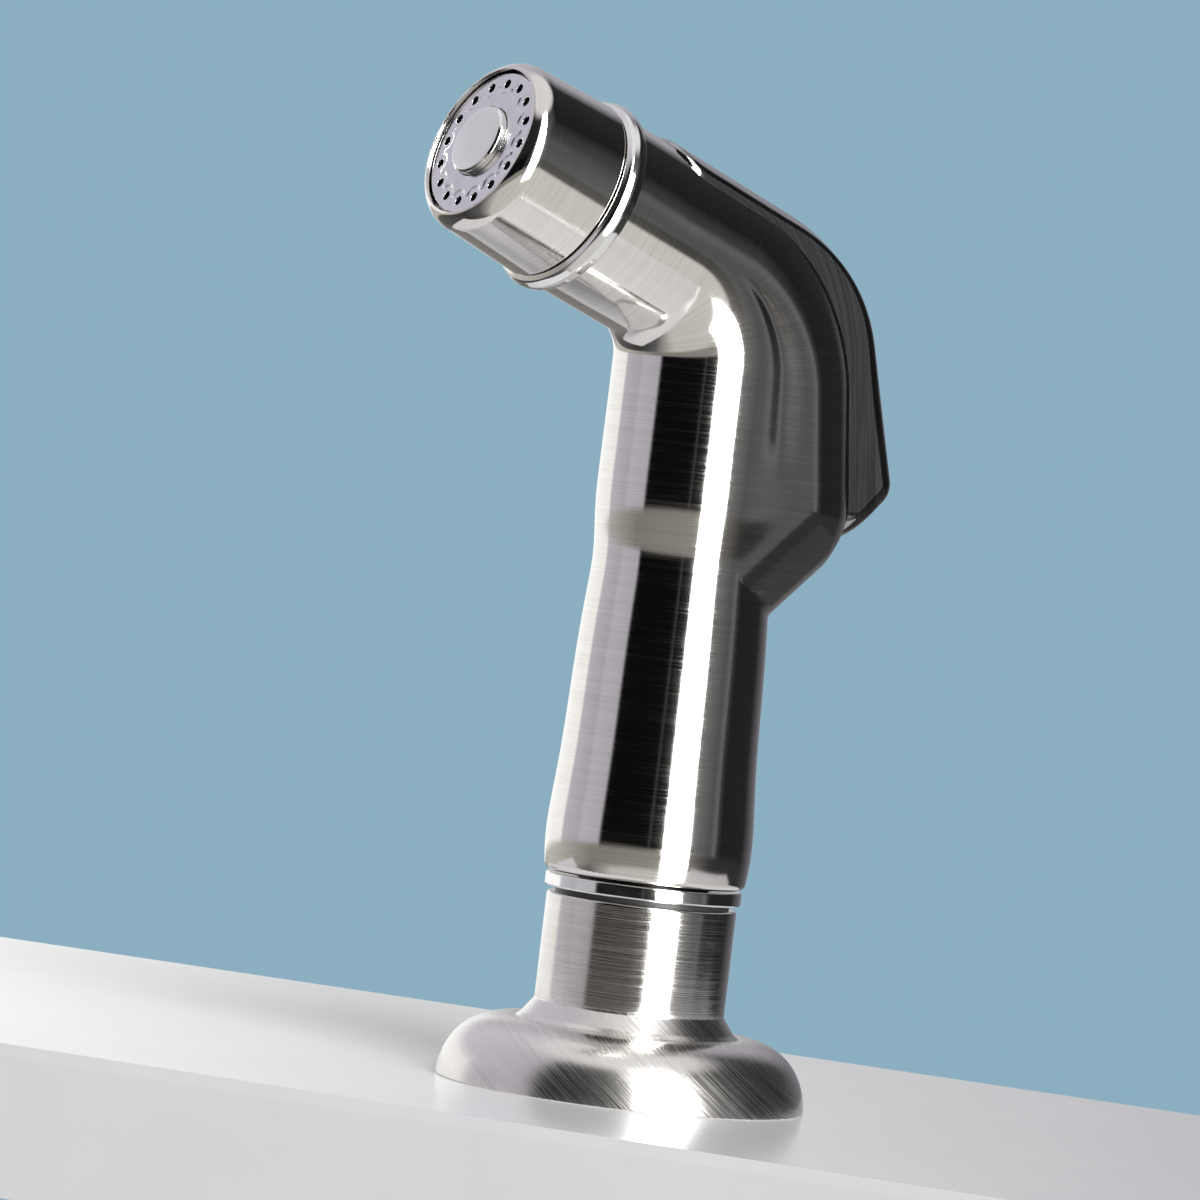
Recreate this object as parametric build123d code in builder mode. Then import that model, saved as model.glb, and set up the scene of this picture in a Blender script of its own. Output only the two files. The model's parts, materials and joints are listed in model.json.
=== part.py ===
"""Kitchen side sprayer with its deck holder, modelled as the pieces that it is assembled from.

Frame: origin on the holder's axis at the deck's top face, +Z up, spray head towards -Y, millimetres.
"""

from build123d import *
from math import atan2, cos, degrees, hypot, radians, sin, tan
import os

os.makedirs("parts", exist_ok=True)

# ---- driving dimensions ----

RUNNING = 0.05  # radial clearance of a turning or sliding fit
DECK_GAP = 20.0  # worktop thickness that the clamp washer is set to

# holder
FLANGE_R = 25.4
FLANGE_TOP = 9.2
NECK_R = 13.07
NECK_TOP = 26.47
NECK_BORE_R = 11.0
FLARE_TOP = 11.7
BOSS_R = 16.2
RECESS_R = 22.4
RECESS_DEPTH = 3.0
SHANK_R = 13.0
SHANK_BORE_R = 10.4
SHANK_TOP = 7.0
SHANK_BOTTOM = -46.0
SHOULDER_Z = 8.5
THREAD_PITCH = 1.5
THREAD_DEPTH = 0.85

# hose coupling and the ring seen between holder and handle
RING_R = 13.5
RING_BOTTOM = 27.2
RING_TOP = 29.1
COUPLING_BOTTOM = 1.0
COUPLING_TOP = 43.2
STEM_R = 8.9
INLET_R = 5.72  # minor radius of the G1/4 female thread
INLET_LENGTH = 9.0
WATERWAY_R = 4.2
ORING_GROOVE_Z = 34.0
ORING_SECTION = 2.2
CLIP_Z = 40.5
CLIP_THICKNESS = 1.0

# handle
HANDLE_BOTTOM = 29.37
HANDLE_R = 13.95
HANDLE_EDGE = 0.8
HANDLE_BORE_R = STEM_R + RUNNING
HANDLE_BORE_TOP = 43.25
WATER_BORE_R = 8.0
WATER_BORE_TOP = 72.0
TUBE_R = 12.7
GRIP_PROFILE = (  # (radius, z) up the grip: a swelling at the bottom and a waist for the fingers
    (14.18, 35.0),
    (13.92, 40.0),
    (13.5, 46.0),
    (13.05, 58.0),
    (12.5, 68.0),
    (12.25, 73.0),
    (12.7, 79.5),
    (12.78, 86.0),
)
BEND_R = 16.0

# spray head: a cylinder on an axis that rises towards -Y
HEAD_ANGLE = 19.1
FACE_Y = -40.55
FACE_Z = 125.61
HEAD_R = 12.8
RING_BACK_S = 17.78  # distances S are measured from the spray face back along the head's axis
RING_FRONT_S = 14.49
BEAD_R = 13.9
BEAD_BACK_R = 13.4
BEAD_FRONT_R = 13.12
SHELL_BACK_R = 12.87
SHELL_FRONT_R = 12.34
SPIGOT_R = 10.4
SPIGOT_FRONT_S = 8.2
SPIGOT_BORE_R = 6.2
OUTLET_R = 3.0
PLATE_R = 10.54
PLATE_FRONT_S = 0.28
PLATE_BACK_S = 2.6
HUB_R = 4.5
HUB_BACK_S = 3.2
WEB_BACK_S = 3.6
FORMER_BACK_S = 7.2
HOLE_COUNT = 16
HOLE_CIRCLE_R = 8.64
HOLE_R = 0.65
BUTTON_R = 5.0
BUTTON_BACK_S = 0.95
BUTTON_EDGE_S = -0.4
BUTTON_FRONT_S = -1.5
BUTTON_BEVEL = 1.1
SCREW_HEAD_R = 3.2
SCREW_HEAD_BACK_S = 2.3
SCREW_R = 2.0
SCREW_END_S = 6.6
FORMER_PORTS = 8
FORMER_PORT_R = 1.1
FORMER_PORT_CIRCLE_R = 6.6

# cheek behind the handle
CHEEK_R = 12.75
CHEEK_START_Z = 71.3
CHEEK_KNEE = (11.45, 82.75)
CHEEK_TOP_Y = 7.75
CHEEK_ARC_R = 19.0
CHEEK_SIDE = 12.55
RAMP_STEP = 0.75  # how much smaller than the cheek the ramp's lower end is

# lever and its slot
LEVER_HALF = 8.1
SLOT_HALF = 8.5
SLOT_FRONT_S = 24.4
SLOT_FLOOR_Q = 4.2  # distances Q are measured from the head's axis, upwards
SLOT_FLOOR_Y = 12.0
SLOT_BOTTOM_Z = 74.5
LEVER_FRONT_S = 24.8
LEVER_TOP_Q = 13.35
LEVER_KNEE = (20.6, 118.5)
LEVER_HEEL = (30.4, 85.8)
LEVER_TOE = (23.1, 78.0)
LEVER_SKIRT_Q = 6.2
LEVER_SKIRT_Y = 16.6
LEVER_WALL = 2.0
CORNER_R = 5.0
LEVER_EDGE_R = 2.5
PIN_S = 29.0
PIN_Q = 7.2
PIN_R = 0.9
PIN_HALF = 9.2
PIN_BOSS_R = 2.0

# valve, on an axis along Y behind the handle
VALVE_Z = 84.0
CHAMBER_R = 5.2
CHAMBER_FRONT_Y = -10.4
SEAT_FACE_Y = -1.0
SEAT_R = 6.0
SEAT_BACK_Y = 0.8
SEAT_HOLE_R = 3.0
GLAND_R = 6.6
GLAND_FRONT_Y = 4.8
GLAND_HEAD_R = 5.9
GLAND_HEAD_Y = 13.2
VALVE_STEM_R = 1.8
STEM_SEAL_SECTION_R = 0.75
STEM_SEAL_POCKET_R = 3.4
STEM_SEAL_POCKET_DEPTH = 2.0
SPRING_SPIGOT_R = 1.6
VALVE_STEM_END_Y = 17.0
POPPET_R = 4.2
WASHER_FRONT_Y = -2.0
POPPET_FRONT_Y = -3.4
SPRING_WIRE_R = 0.3
SPRING_COIL_R = 2.7
OUTLET_PASSAGE_Y = 2.75
OUTLET_PASSAGE_R = 1.85
INLET_PORT_R = 2.4
INLET_PORT_Y = -5.5

# ---- frames and helpers ----

tilt = radians(HEAD_ANGLE)
spray = Vector(0, -cos(tilt), sin(tilt))
above = Vector(0, sin(tilt), cos(tilt))
face_centre = Vector(0, FACE_Y, FACE_Z)
head_axis = Axis(face_centre, spray)
head_section = Plane(origin=face_centre, x_dir=above, z_dir=(1, 0, 0))
side = Plane.YZ


def head_plane(s):
    """The plane square to the head's axis, at distance s behind the spray face, facing forwards."""
    return Plane(origin=face_centre - spray * s, x_dir=(1, 0, 0), z_dir=spray)


def head_point(s, q):
    """(y, z) of the point at distance s behind the spray face and q above the head's axis."""
    point = face_centre - spray * s + above * q
    return (point.Y, point.Z)


def in_section(point):
    """(y, z) of a point."""
    return (point.Y, point.Z)


def height_above(point):
    """How far a point is above the head's axis."""
    return (point - face_centre).dot(above)


def valve_plane(y):
    """The plane square to the valve's axis at this y, facing +Y."""
    return Plane(origin=(0, y, VALVE_Z), x_dir=(1, 0, 0), z_dir=(0, 1, 0))


def ring(label, outer_r, inner_r, bottom, top):
    """A plain ring on the Z axis."""
    with BuildPart() as piece:
        with BuildSketch(Plane.XY.offset(bottom)):
            Circle(outer_r)
            Circle(inner_r, mode=Mode.SUBTRACT)
        extrude(amount=top - bottom)
    save(piece.part, label)


def save(solid, label):
    solid.label = label
    export_step(solid, f"parts/{label}.step")


# where the handle's axis and the head's axis meet, and the bend between them
meeting_z = FACE_Z + FACE_Y * tan(tilt)
bend_angle = 90 - HEAD_ANGLE
bend_tangent = BEND_R * tan(radians(bend_angle / 2))
bend_z = meeting_z - bend_tangent
bend_end_s = -FACE_Y / cos(tilt) - bend_tangent

# ---- holder ----

with BuildPart() as holder:
    with BuildSketch(Plane.XZ):
        with BuildLine():
            Polyline((RECESS_R, RECESS_DEPTH), (RECESS_R, 0), (FLANGE_R - 0.4, 0), (FLANGE_R, 0.6))
            Spline(
                (FLANGE_R, 0.6),
                (FLANGE_R - 1.2, 4.5),
                (FLANGE_R - 4.0, 8.0),
                (FLANGE_R - 7.6, FLANGE_TOP),
                tangents=((0, 1), (-1, 0)),
            )
            Polyline(
                (FLANGE_R - 7.6, FLANGE_TOP),
                (NECK_R + 2.4, FLANGE_TOP - 0.1),
                (NECK_R + 1.5, FLANGE_TOP + 0.4),
                (NECK_R, FLARE_TOP),
                (NECK_R, NECK_TOP - 0.3),
                (NECK_R - 0.3, NECK_TOP),
                (NECK_BORE_R, NECK_TOP),
                (NECK_BORE_R, SHOULDER_Z),
                (SHANK_R, SHOULDER_Z),
                (SHANK_R, 0.8),
                (BOSS_R, 0.8),
                (BOSS_R, RECESS_DEPTH),
                (RECESS_R, RECESS_DEPTH),
            )
        make_face()
    revolve(axis=Axis.Z)
save(holder.part, "holder")

ring("deck_gasket", RECESS_R - 0.1, BOSS_R + 0.1, 0, RECESS_DEPTH)

# liner of the neck: a flanged cone that the hose and the coupling slide through
with BuildPart() as guide_sleeve:
    with BuildSketch(Plane.XZ):
        with BuildLine():
            Polyline(
                (SHANK_R - 0.2, SHANK_TOP),
                (SHANK_R - 0.2, SHOULDER_Z),
                (NECK_BORE_R - 0.05, SHOULDER_Z),
                (NECK_BORE_R - 0.05, NECK_TOP - 0.4),
                (NECK_BORE_R - 0.45, NECK_TOP - 0.4),
                (NECK_BORE_R - 1.1, SHANK_TOP),
                close=True,
            )
        make_face()
    revolve(axis=Axis.Z)
save(guide_sleeve.part, "guide_sleeve")

# the thread is a stack of ring grooves
groove_count = int((0 - SHANK_BOTTOM - 4) / THREAD_PITCH)
with BuildPart() as mounting_shank:
    with BuildSketch(Plane.XY.offset(SHANK_BOTTOM)):
        Circle(SHANK_R)
        Circle(SHANK_BORE_R, mode=Mode.SUBTRACT)
    extrude(amount=SHANK_TOP - SHANK_BOTTOM)
    with BuildSketch(Plane.XZ):
        with Locations(*[(SHANK_R, SHANK_BOTTOM + 2 + THREAD_PITCH * i) for i in range(groove_count)]):
            Polygon(
                (0.1, -THREAD_PITCH * 0.42),
                (0.1, THREAD_PITCH * 0.42),
                (-THREAD_DEPTH, 0.1),
                (-THREAD_DEPTH, -0.1),
                align=None,
            )
    revolve(axis=Axis.Z, mode=Mode.SUBTRACT)
    chamfer(mounting_shank.edges().filter_by(GeomType.CIRCLE).sort_by(Axis.Z)[:1], 0.5)
save(mounting_shank.part, "mounting_shank")

ring("clamp_washer", 20.0, SHANK_R + 0.4, -DECK_GAP - 2, -DECK_GAP)

with BuildPart() as lock_nut:
    with BuildSketch(Plane.XY.offset(-DECK_GAP - 11)):
        RegularPolygon(18.0, 6, major_radius=False)
    extrude(amount=8)
    with BuildSketch(Plane.XY.offset(-DECK_GAP - 3)):
        Circle(19.0)
    extrude(amount=1)
    with BuildSketch(Plane.XY.offset(-DECK_GAP - 11)):
        with PolarLocations(21.0, 2, start_angle=0):
            Rectangle(10.0, 4.0)
    extrude(amount=7)
    fillet(lock_nut.edges().filter_by(Axis.Z).group_by(SortBy.DISTANCE)[-1], 1.5)
    with BuildSketch(Plane.XY.offset(-DECK_GAP - 11)):
        Circle(SHANK_R + RUNNING)
    extrude(amount=9, mode=Mode.SUBTRACT)
save(lock_nut.part, "lock_nut")

# ---- hose coupling ----

groove_r = STEM_R - 1.65
clip_groove_r = STEM_R - 1.0
with BuildPart() as hose_coupling:
    with BuildSketch(Plane.XZ):
        with BuildLine():
            Polyline(
                (INLET_R, COUPLING_BOTTOM),
                (8.4, COUPLING_BOTTOM),
                (8.9, COUPLING_BOTTOM + 1.5),
                (9.6, NECK_TOP - 3),
                (10.0, NECK_TOP),
                (12.0, NECK_TOP),
                (12.0, RING_BOTTOM),
                (STEM_R, RING_BOTTOM),
                (STEM_R, ORING_GROOVE_Z),
                (groove_r, ORING_GROOVE_Z),
                (groove_r, ORING_GROOVE_Z + ORING_SECTION),
                (STEM_R, ORING_GROOVE_Z + ORING_SECTION),
                (STEM_R, CLIP_Z),
                (clip_groove_r, CLIP_Z),
                (clip_groove_r, CLIP_Z + CLIP_THICKNESS),
                (STEM_R, CLIP_Z + CLIP_THICKNESS),
                (STEM_R, COUPLING_TOP - 0.5),
                (STEM_R - 0.5, COUPLING_TOP),
                (5.6, COUPLING_TOP),
                (5.6, COUPLING_TOP - 2),
                (WATERWAY_R, COUPLING_TOP - 2),
                (WATERWAY_R, COUPLING_BOTTOM + INLET_LENGTH + 1.5),
                (INLET_R + 0.3, COUPLING_BOTTOM + INLET_LENGTH + 1.5),
                (INLET_R + 0.3, COUPLING_BOTTOM + INLET_LENGTH),
                (INLET_R, COUPLING_BOTTOM + INLET_LENGTH),
                close=True,
            )
        make_face()
    revolve(axis=Axis.Z)
save(hose_coupling.part, "hose_coupling")

with BuildPart() as swivel_ring:
    with BuildSketch(Plane.XY.offset(RING_BOTTOM)):
        Circle(RING_R)
        Circle(STEM_R, mode=Mode.SUBTRACT)
    extrude(amount=RING_TOP - RING_BOTTOM)
    fillet(swivel_ring.edges().filter_by(GeomType.CIRCLE).group_by(SortBy.RADIUS)[-1], 0.35)
save(swivel_ring.part, "swivel_ring")

hose_washer_bottom = COUPLING_BOTTOM + INLET_LENGTH
ring("hose_washer", INLET_R + 0.3, WATERWAY_R, hose_washer_bottom, hose_washer_bottom + 1.5)

with BuildPart() as swivel_o_ring:
    with BuildSketch(Plane.XZ):
        with Locations((groove_r + 0.8, ORING_GROOVE_Z + ORING_SECTION / 2)):
            Circle(0.8)
    revolve(axis=Axis.Z)
save(swivel_o_ring.part, "swivel_o_ring")

# open spring clip in the stem's upper groove, standing into the handle's groove
with BuildPart() as retaining_clip:
    with BuildSketch(Plane.XY.offset(CLIP_Z + 0.05)):
        Circle(STEM_R + 0.75)
        Circle(clip_groove_r, mode=Mode.SUBTRACT)
        with Locations((0, STEM_R)):
            Rectangle(4.0, 6.0, mode=Mode.SUBTRACT)
    extrude(amount=CLIP_THICKNESS - 0.1)
save(retaining_clip.part, "retaining_clip")

with BuildPart() as inlet_screen:
    with BuildSketch(Plane.XY.offset(COUPLING_TOP - 2)):
        Circle(5.6)
        with GridLocations(1.4, 1.4, 5, 5):
            Circle(0.45, mode=Mode.SUBTRACT)
    extrude(amount=0.6)
save(inlet_screen.part, "inlet_screen")

# ---- handle body ----

knee_y, knee_z = CHEEK_KNEE
top_z = meeting_z - CHEEK_TOP_Y * tan(tilt)
ramp_length = hypot(knee_y, knee_z - CHEEK_START_Z)
ramp_plane = Plane(origin=(0, 0, CHEEK_START_Z), x_dir=(1, 0, 0), z_dir=(0, knee_y, knee_z - CHEEK_START_Z))
lean = atan2(knee_y - CHEEK_TOP_Y, top_z - knee_z)
cheek_turn = 90 - HEAD_ANGLE - degrees(lean)
cheek_tangent = CHEEK_ARC_R * tan(radians(cheek_turn / 2))
cheek_rise = hypot(knee_y - CHEEK_TOP_Y, top_z - knee_z) - cheek_tangent
arc_start = Vector(0, knee_y - sin(lean) * cheek_rise, knee_z + cos(lean) * cheek_rise)
arc_centre = arc_start + Vector(0, -cos(lean), -sin(lean)) * CHEEK_ARC_R
half_turn = lean + radians(cheek_turn / 2)
arc_middle = arc_centre + Vector(0, cos(half_turn), sin(half_turn)) * CHEEK_ARC_R
arc_end = arc_centre + above * CHEEK_ARC_R
arc_end_s = (face_centre - arc_end).dot(spray)
bend_centre = Vector(0, -BEND_R, bend_z)
bend_stop = radians(50)
bend_stop_point = bend_centre + Vector(0, cos(bend_stop), sin(bend_stop)) * BEND_R
bend_half_point = bend_centre + Vector(0, cos(bend_stop / 2), sin(bend_stop / 2)) * BEND_R

# the lever's slot, as the solid that is cut from the body
slot_floor_z = meeting_z - SLOT_FLOOR_Y * tan(tilt) + SLOT_FLOOR_Q / cos(tilt)
with BuildPart() as slot:
    with BuildSketch(side):
        with BuildLine():
            slot_floor = FilletPolyline(
                head_point(SLOT_FRONT_S, SLOT_FLOOR_Q),
                (SLOT_FLOOR_Y, slot_floor_z),
                (SLOT_FLOOR_Y, SLOT_BOTTOM_Z),
                radius=6.0,
            )
            Polyline(
                slot_floor @ 1,
                (50, SLOT_BOTTOM_Z),
                (50, 160),
                head_point(SLOT_FRONT_S, 30),
                slot_floor @ 0,
            )
        make_face()
    extrude(amount=SLOT_HALF, both=True)
    fillet(slot.faces().sort_by(Axis.Z)[0].edges().filter_by(Axis.Y), CORNER_R)
    front_wall = slot.faces().sort_by(head_axis)[-1]
    fillet(front_wall.edges().filter_by(Axis((0, 0, 0), above)), CORNER_R)

with BuildPart() as handle_body:
    # grip, with a finger waist, then the bend and the head's neck
    with BuildSketch(Plane.XZ):
        with BuildLine():
            Polyline((0, HANDLE_BOTTOM), (HANDLE_R - HANDLE_EDGE, HANDLE_BOTTOM))
            RadiusArc(
                (HANDLE_R - HANDLE_EDGE, HANDLE_BOTTOM),
                (HANDLE_R, HANDLE_BOTTOM + 2 * HANDLE_EDGE),
                -2 * HANDLE_EDGE,
            )
            Spline(
                (HANDLE_R, HANDLE_BOTTOM + 2 * HANDLE_EDGE),
                *GRIP_PROFILE,
                (TUBE_R, bend_z),
                tangents=((0.1, 1), (0, 1)),
            )
            Polyline((TUBE_R, bend_z), (0, bend_z), (0, HANDLE_BOTTOM))
        make_face()
    revolve(axis=Axis.Z)
    with BuildSketch(Plane.XY.offset(bend_z)):
        Circle(TUBE_R)
    revolve(axis=Axis(bend_centre, (1, 0, 0)), revolution_arc=bend_angle)
    with BuildSketch(head_plane(bend_end_s)):
        Circle(HEAD_R)
    extrude(amount=bend_end_s - RING_BACK_S)
    # cheek: a round back that leaves the grip at a ramp and joins the head over a large arc
    with BuildSketch(ramp_plane):
        Circle(CHEEK_R - RAMP_STEP)
    extrude(amount=ramp_length, taper=-degrees(atan2(RAMP_STEP, ramp_length)))
    with Locations((0, knee_y, knee_z)):
        Sphere(CHEEK_R)
    lean_plane = Plane(origin=(0, knee_y, knee_z), x_dir=(1, 0, 0), z_dir=(0, -sin(lean), cos(lean)))
    with BuildSketch(lean_plane):
        Circle(CHEEK_R)
    extrude(amount=cheek_rise)
    with BuildSketch(lean_plane.offset(cheek_rise)):
        Circle(CHEEK_R)
    revolve(axis=Axis(arc_centre, (1, 0, 0)), revolution_arc=cheek_turn)
    with BuildSketch(head_plane(arc_end_s)):
        Circle(CHEEK_R)
    extrude(amount=arc_end_s - bend_end_s)
    # side walls between the grip and the round back
    with BuildSketch(side):
        with BuildLine():
            Polyline((0, CHEEK_START_Z), (0, bend_z))
            ThreePointArc((0, bend_z), in_section(bend_half_point), in_section(bend_stop_point))
            Line(in_section(bend_stop_point), in_section(arc_end))
            ThreePointArc(in_section(arc_end), in_section(arc_middle), in_section(arc_start))
            Polyline(in_section(arc_start), CHEEK_KNEE, (0, CHEEK_START_Z))
        make_face()
    extrude(amount=CHEEK_SIDE, both=True)
    # spigot for the nozzle
    with BuildSketch(head_plane(RING_BACK_S)):
        Circle(SPIGOT_R)
    extrude(amount=RING_BACK_S - SPIGOT_FRONT_S)
    # lever slot
    add(slot.part, mode=Mode.SUBTRACT)
    # bore for the hose coupling, with the clip's groove, and the water chamber above it
    with BuildSketch(Plane.XY.offset(HANDLE_BOTTOM)):
        Circle(HANDLE_BORE_R)
    extrude(amount=HANDLE_BORE_TOP - HANDLE_BOTTOM, mode=Mode.SUBTRACT)
    with BuildSketch(Plane.XY.offset(CLIP_Z - 0.2)):
        Circle(STEM_R + 1.0)
    extrude(amount=CLIP_THICKNESS + 0.4, mode=Mode.SUBTRACT)
    with BuildSketch(Plane.XY.offset(HANDLE_BORE_TOP)):
        Circle(WATER_BORE_R)
    extrude(amount=WATER_BORE_TOP - HANDLE_BORE_TOP, mode=Mode.SUBTRACT)
    with BuildSketch(Plane.XY.offset(WATER_BORE_TOP)):
        with Locations((0, INLET_PORT_Y)):
            Circle(INLET_PORT_R)
    extrude(amount=VALVE_Z - WATER_BORE_TOP, mode=Mode.SUBTRACT)
    # valve chambers, from the front to the slot's floor
    for radius, front, back in (
        (CHAMBER_R, CHAMBER_FRONT_Y, SEAT_FACE_Y),
        (SEAT_R, SEAT_FACE_Y, GLAND_FRONT_Y),
        (GLAND_R, GLAND_FRONT_Y, SLOT_FLOOR_Y + 1),
    ):
        with BuildSketch(valve_plane(front)):
            Circle(radius)
        extrude(amount=back - front, mode=Mode.SUBTRACT)
    # outlet passage up to the head's waterway, and the waterway out through the spigot
    with BuildSketch(Plane.XY.offset(VALVE_Z)):
        with Locations((0, OUTLET_PASSAGE_Y)):
            Circle(OUTLET_PASSAGE_R)
    extrude(amount=meeting_z - OUTLET_PASSAGE_Y * tan(tilt) - VALVE_Z, mode=Mode.SUBTRACT)
    with BuildSketch(head_plane(SPIGOT_FRONT_S)):
        Circle(OUTLET_R)
    extrude(amount=-(-FACE_Y + OUTLET_PASSAGE_Y) / cos(tilt) + SPIGOT_FRONT_S, mode=Mode.SUBTRACT)
    with BuildSketch(head_plane(SPIGOT_FRONT_S)):
        Circle(SPIGOT_BORE_R)
    extrude(amount=-12, mode=Mode.SUBTRACT)
    # blind sockets for the lever's pin
    with BuildSketch(side):
        with Locations(head_point(PIN_S, PIN_Q)):
            Circle(PIN_R)
    extrude(amount=PIN_HALF, both=True, mode=Mode.SUBTRACT)
save(handle_body.part, "handle_body")

# ---- valve ----

with BuildPart() as valve_seat:
    with BuildSketch(valve_plane(SEAT_FACE_Y)):
        Circle(SEAT_R)
        Circle(SEAT_HOLE_R, mode=Mode.SUBTRACT)
    extrude(amount=SEAT_BACK_Y - SEAT_FACE_Y)
save(valve_seat.part, "valve_seat")

with BuildPart() as valve_stem:
    with BuildSketch(valve_plane(POPPET_FRONT_Y - SPRING_SPIGOT_R)):
        Circle(SPRING_SPIGOT_R)
    extrude(amount=SPRING_SPIGOT_R)
    with BuildSketch(valve_plane(POPPET_FRONT_Y)):
        Circle(POPPET_R)
    extrude(amount=WASHER_FRONT_Y - POPPET_FRONT_Y)
    with BuildSketch(valve_plane(WASHER_FRONT_Y)):
        Circle(VALVE_STEM_R)
    extrude(amount=VALVE_STEM_END_Y - WASHER_FRONT_Y)
    fillet(valve_stem.edges().sort_by(Axis.Y)[-1], 1.2)
save(valve_stem.part, "valve_stem")

with BuildPart() as valve_washer:
    with BuildSketch(valve_plane(WASHER_FRONT_Y)):
        Circle(POPPET_R)
        Circle(VALVE_STEM_R, mode=Mode.SUBTRACT)
    extrude(amount=SEAT_FACE_Y - WASHER_FRONT_Y)
save(valve_washer.part, "valve_washer")

spring_length = POPPET_FRONT_Y - CHAMBER_FRONT_Y - 2 * SPRING_WIRE_R
with BuildPart() as valve_spring:
    with BuildLine():
        coil = Helix(
            pitch=spring_length / 4.5,
            height=spring_length,
            radius=SPRING_COIL_R,
            center=(0, CHAMBER_FRONT_Y + SPRING_WIRE_R, VALVE_Z),
            direction=(0, 1, 0),
        )
    with BuildSketch(Plane(origin=coil @ 0, z_dir=coil % 0)):
        Circle(SPRING_WIRE_R)
    sweep()
save(valve_spring.part, "valve_spring")

with BuildPart() as valve_gland:
    with BuildSketch(valve_plane(GLAND_FRONT_Y)):
        Circle(GLAND_R)
    extrude(amount=SLOT_FLOOR_Y - GLAND_FRONT_Y)
    with BuildSketch(valve_plane(SLOT_FLOOR_Y)):
        RegularPolygon(GLAND_HEAD_R, 6)
    extrude(amount=GLAND_HEAD_Y - SLOT_FLOOR_Y)
    with BuildSketch(valve_plane(GLAND_FRONT_Y)):
        Circle(VALVE_STEM_R + RUNNING)
    extrude(amount=GLAND_HEAD_Y - GLAND_FRONT_Y, mode=Mode.SUBTRACT)
    with BuildSketch(valve_plane(GLAND_FRONT_Y)):
        Circle(STEM_SEAL_POCKET_R)
    extrude(amount=STEM_SEAL_POCKET_DEPTH, mode=Mode.SUBTRACT)
save(valve_gland.part, "valve_gland")

with BuildPart() as stem_o_ring:
    with BuildSketch(Plane.YZ):
        with Locations((GLAND_FRONT_Y + 1.0, VALVE_Z + VALVE_STEM_R + RUNNING + STEM_SEAL_SECTION_R)):
            Circle(STEM_SEAL_SECTION_R)
    revolve(axis=Axis((0, 0, VALVE_Z), (0, 1, 0)))
save(stem_o_ring.part, "stem_o_ring")

# ---- lever ----

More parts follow.
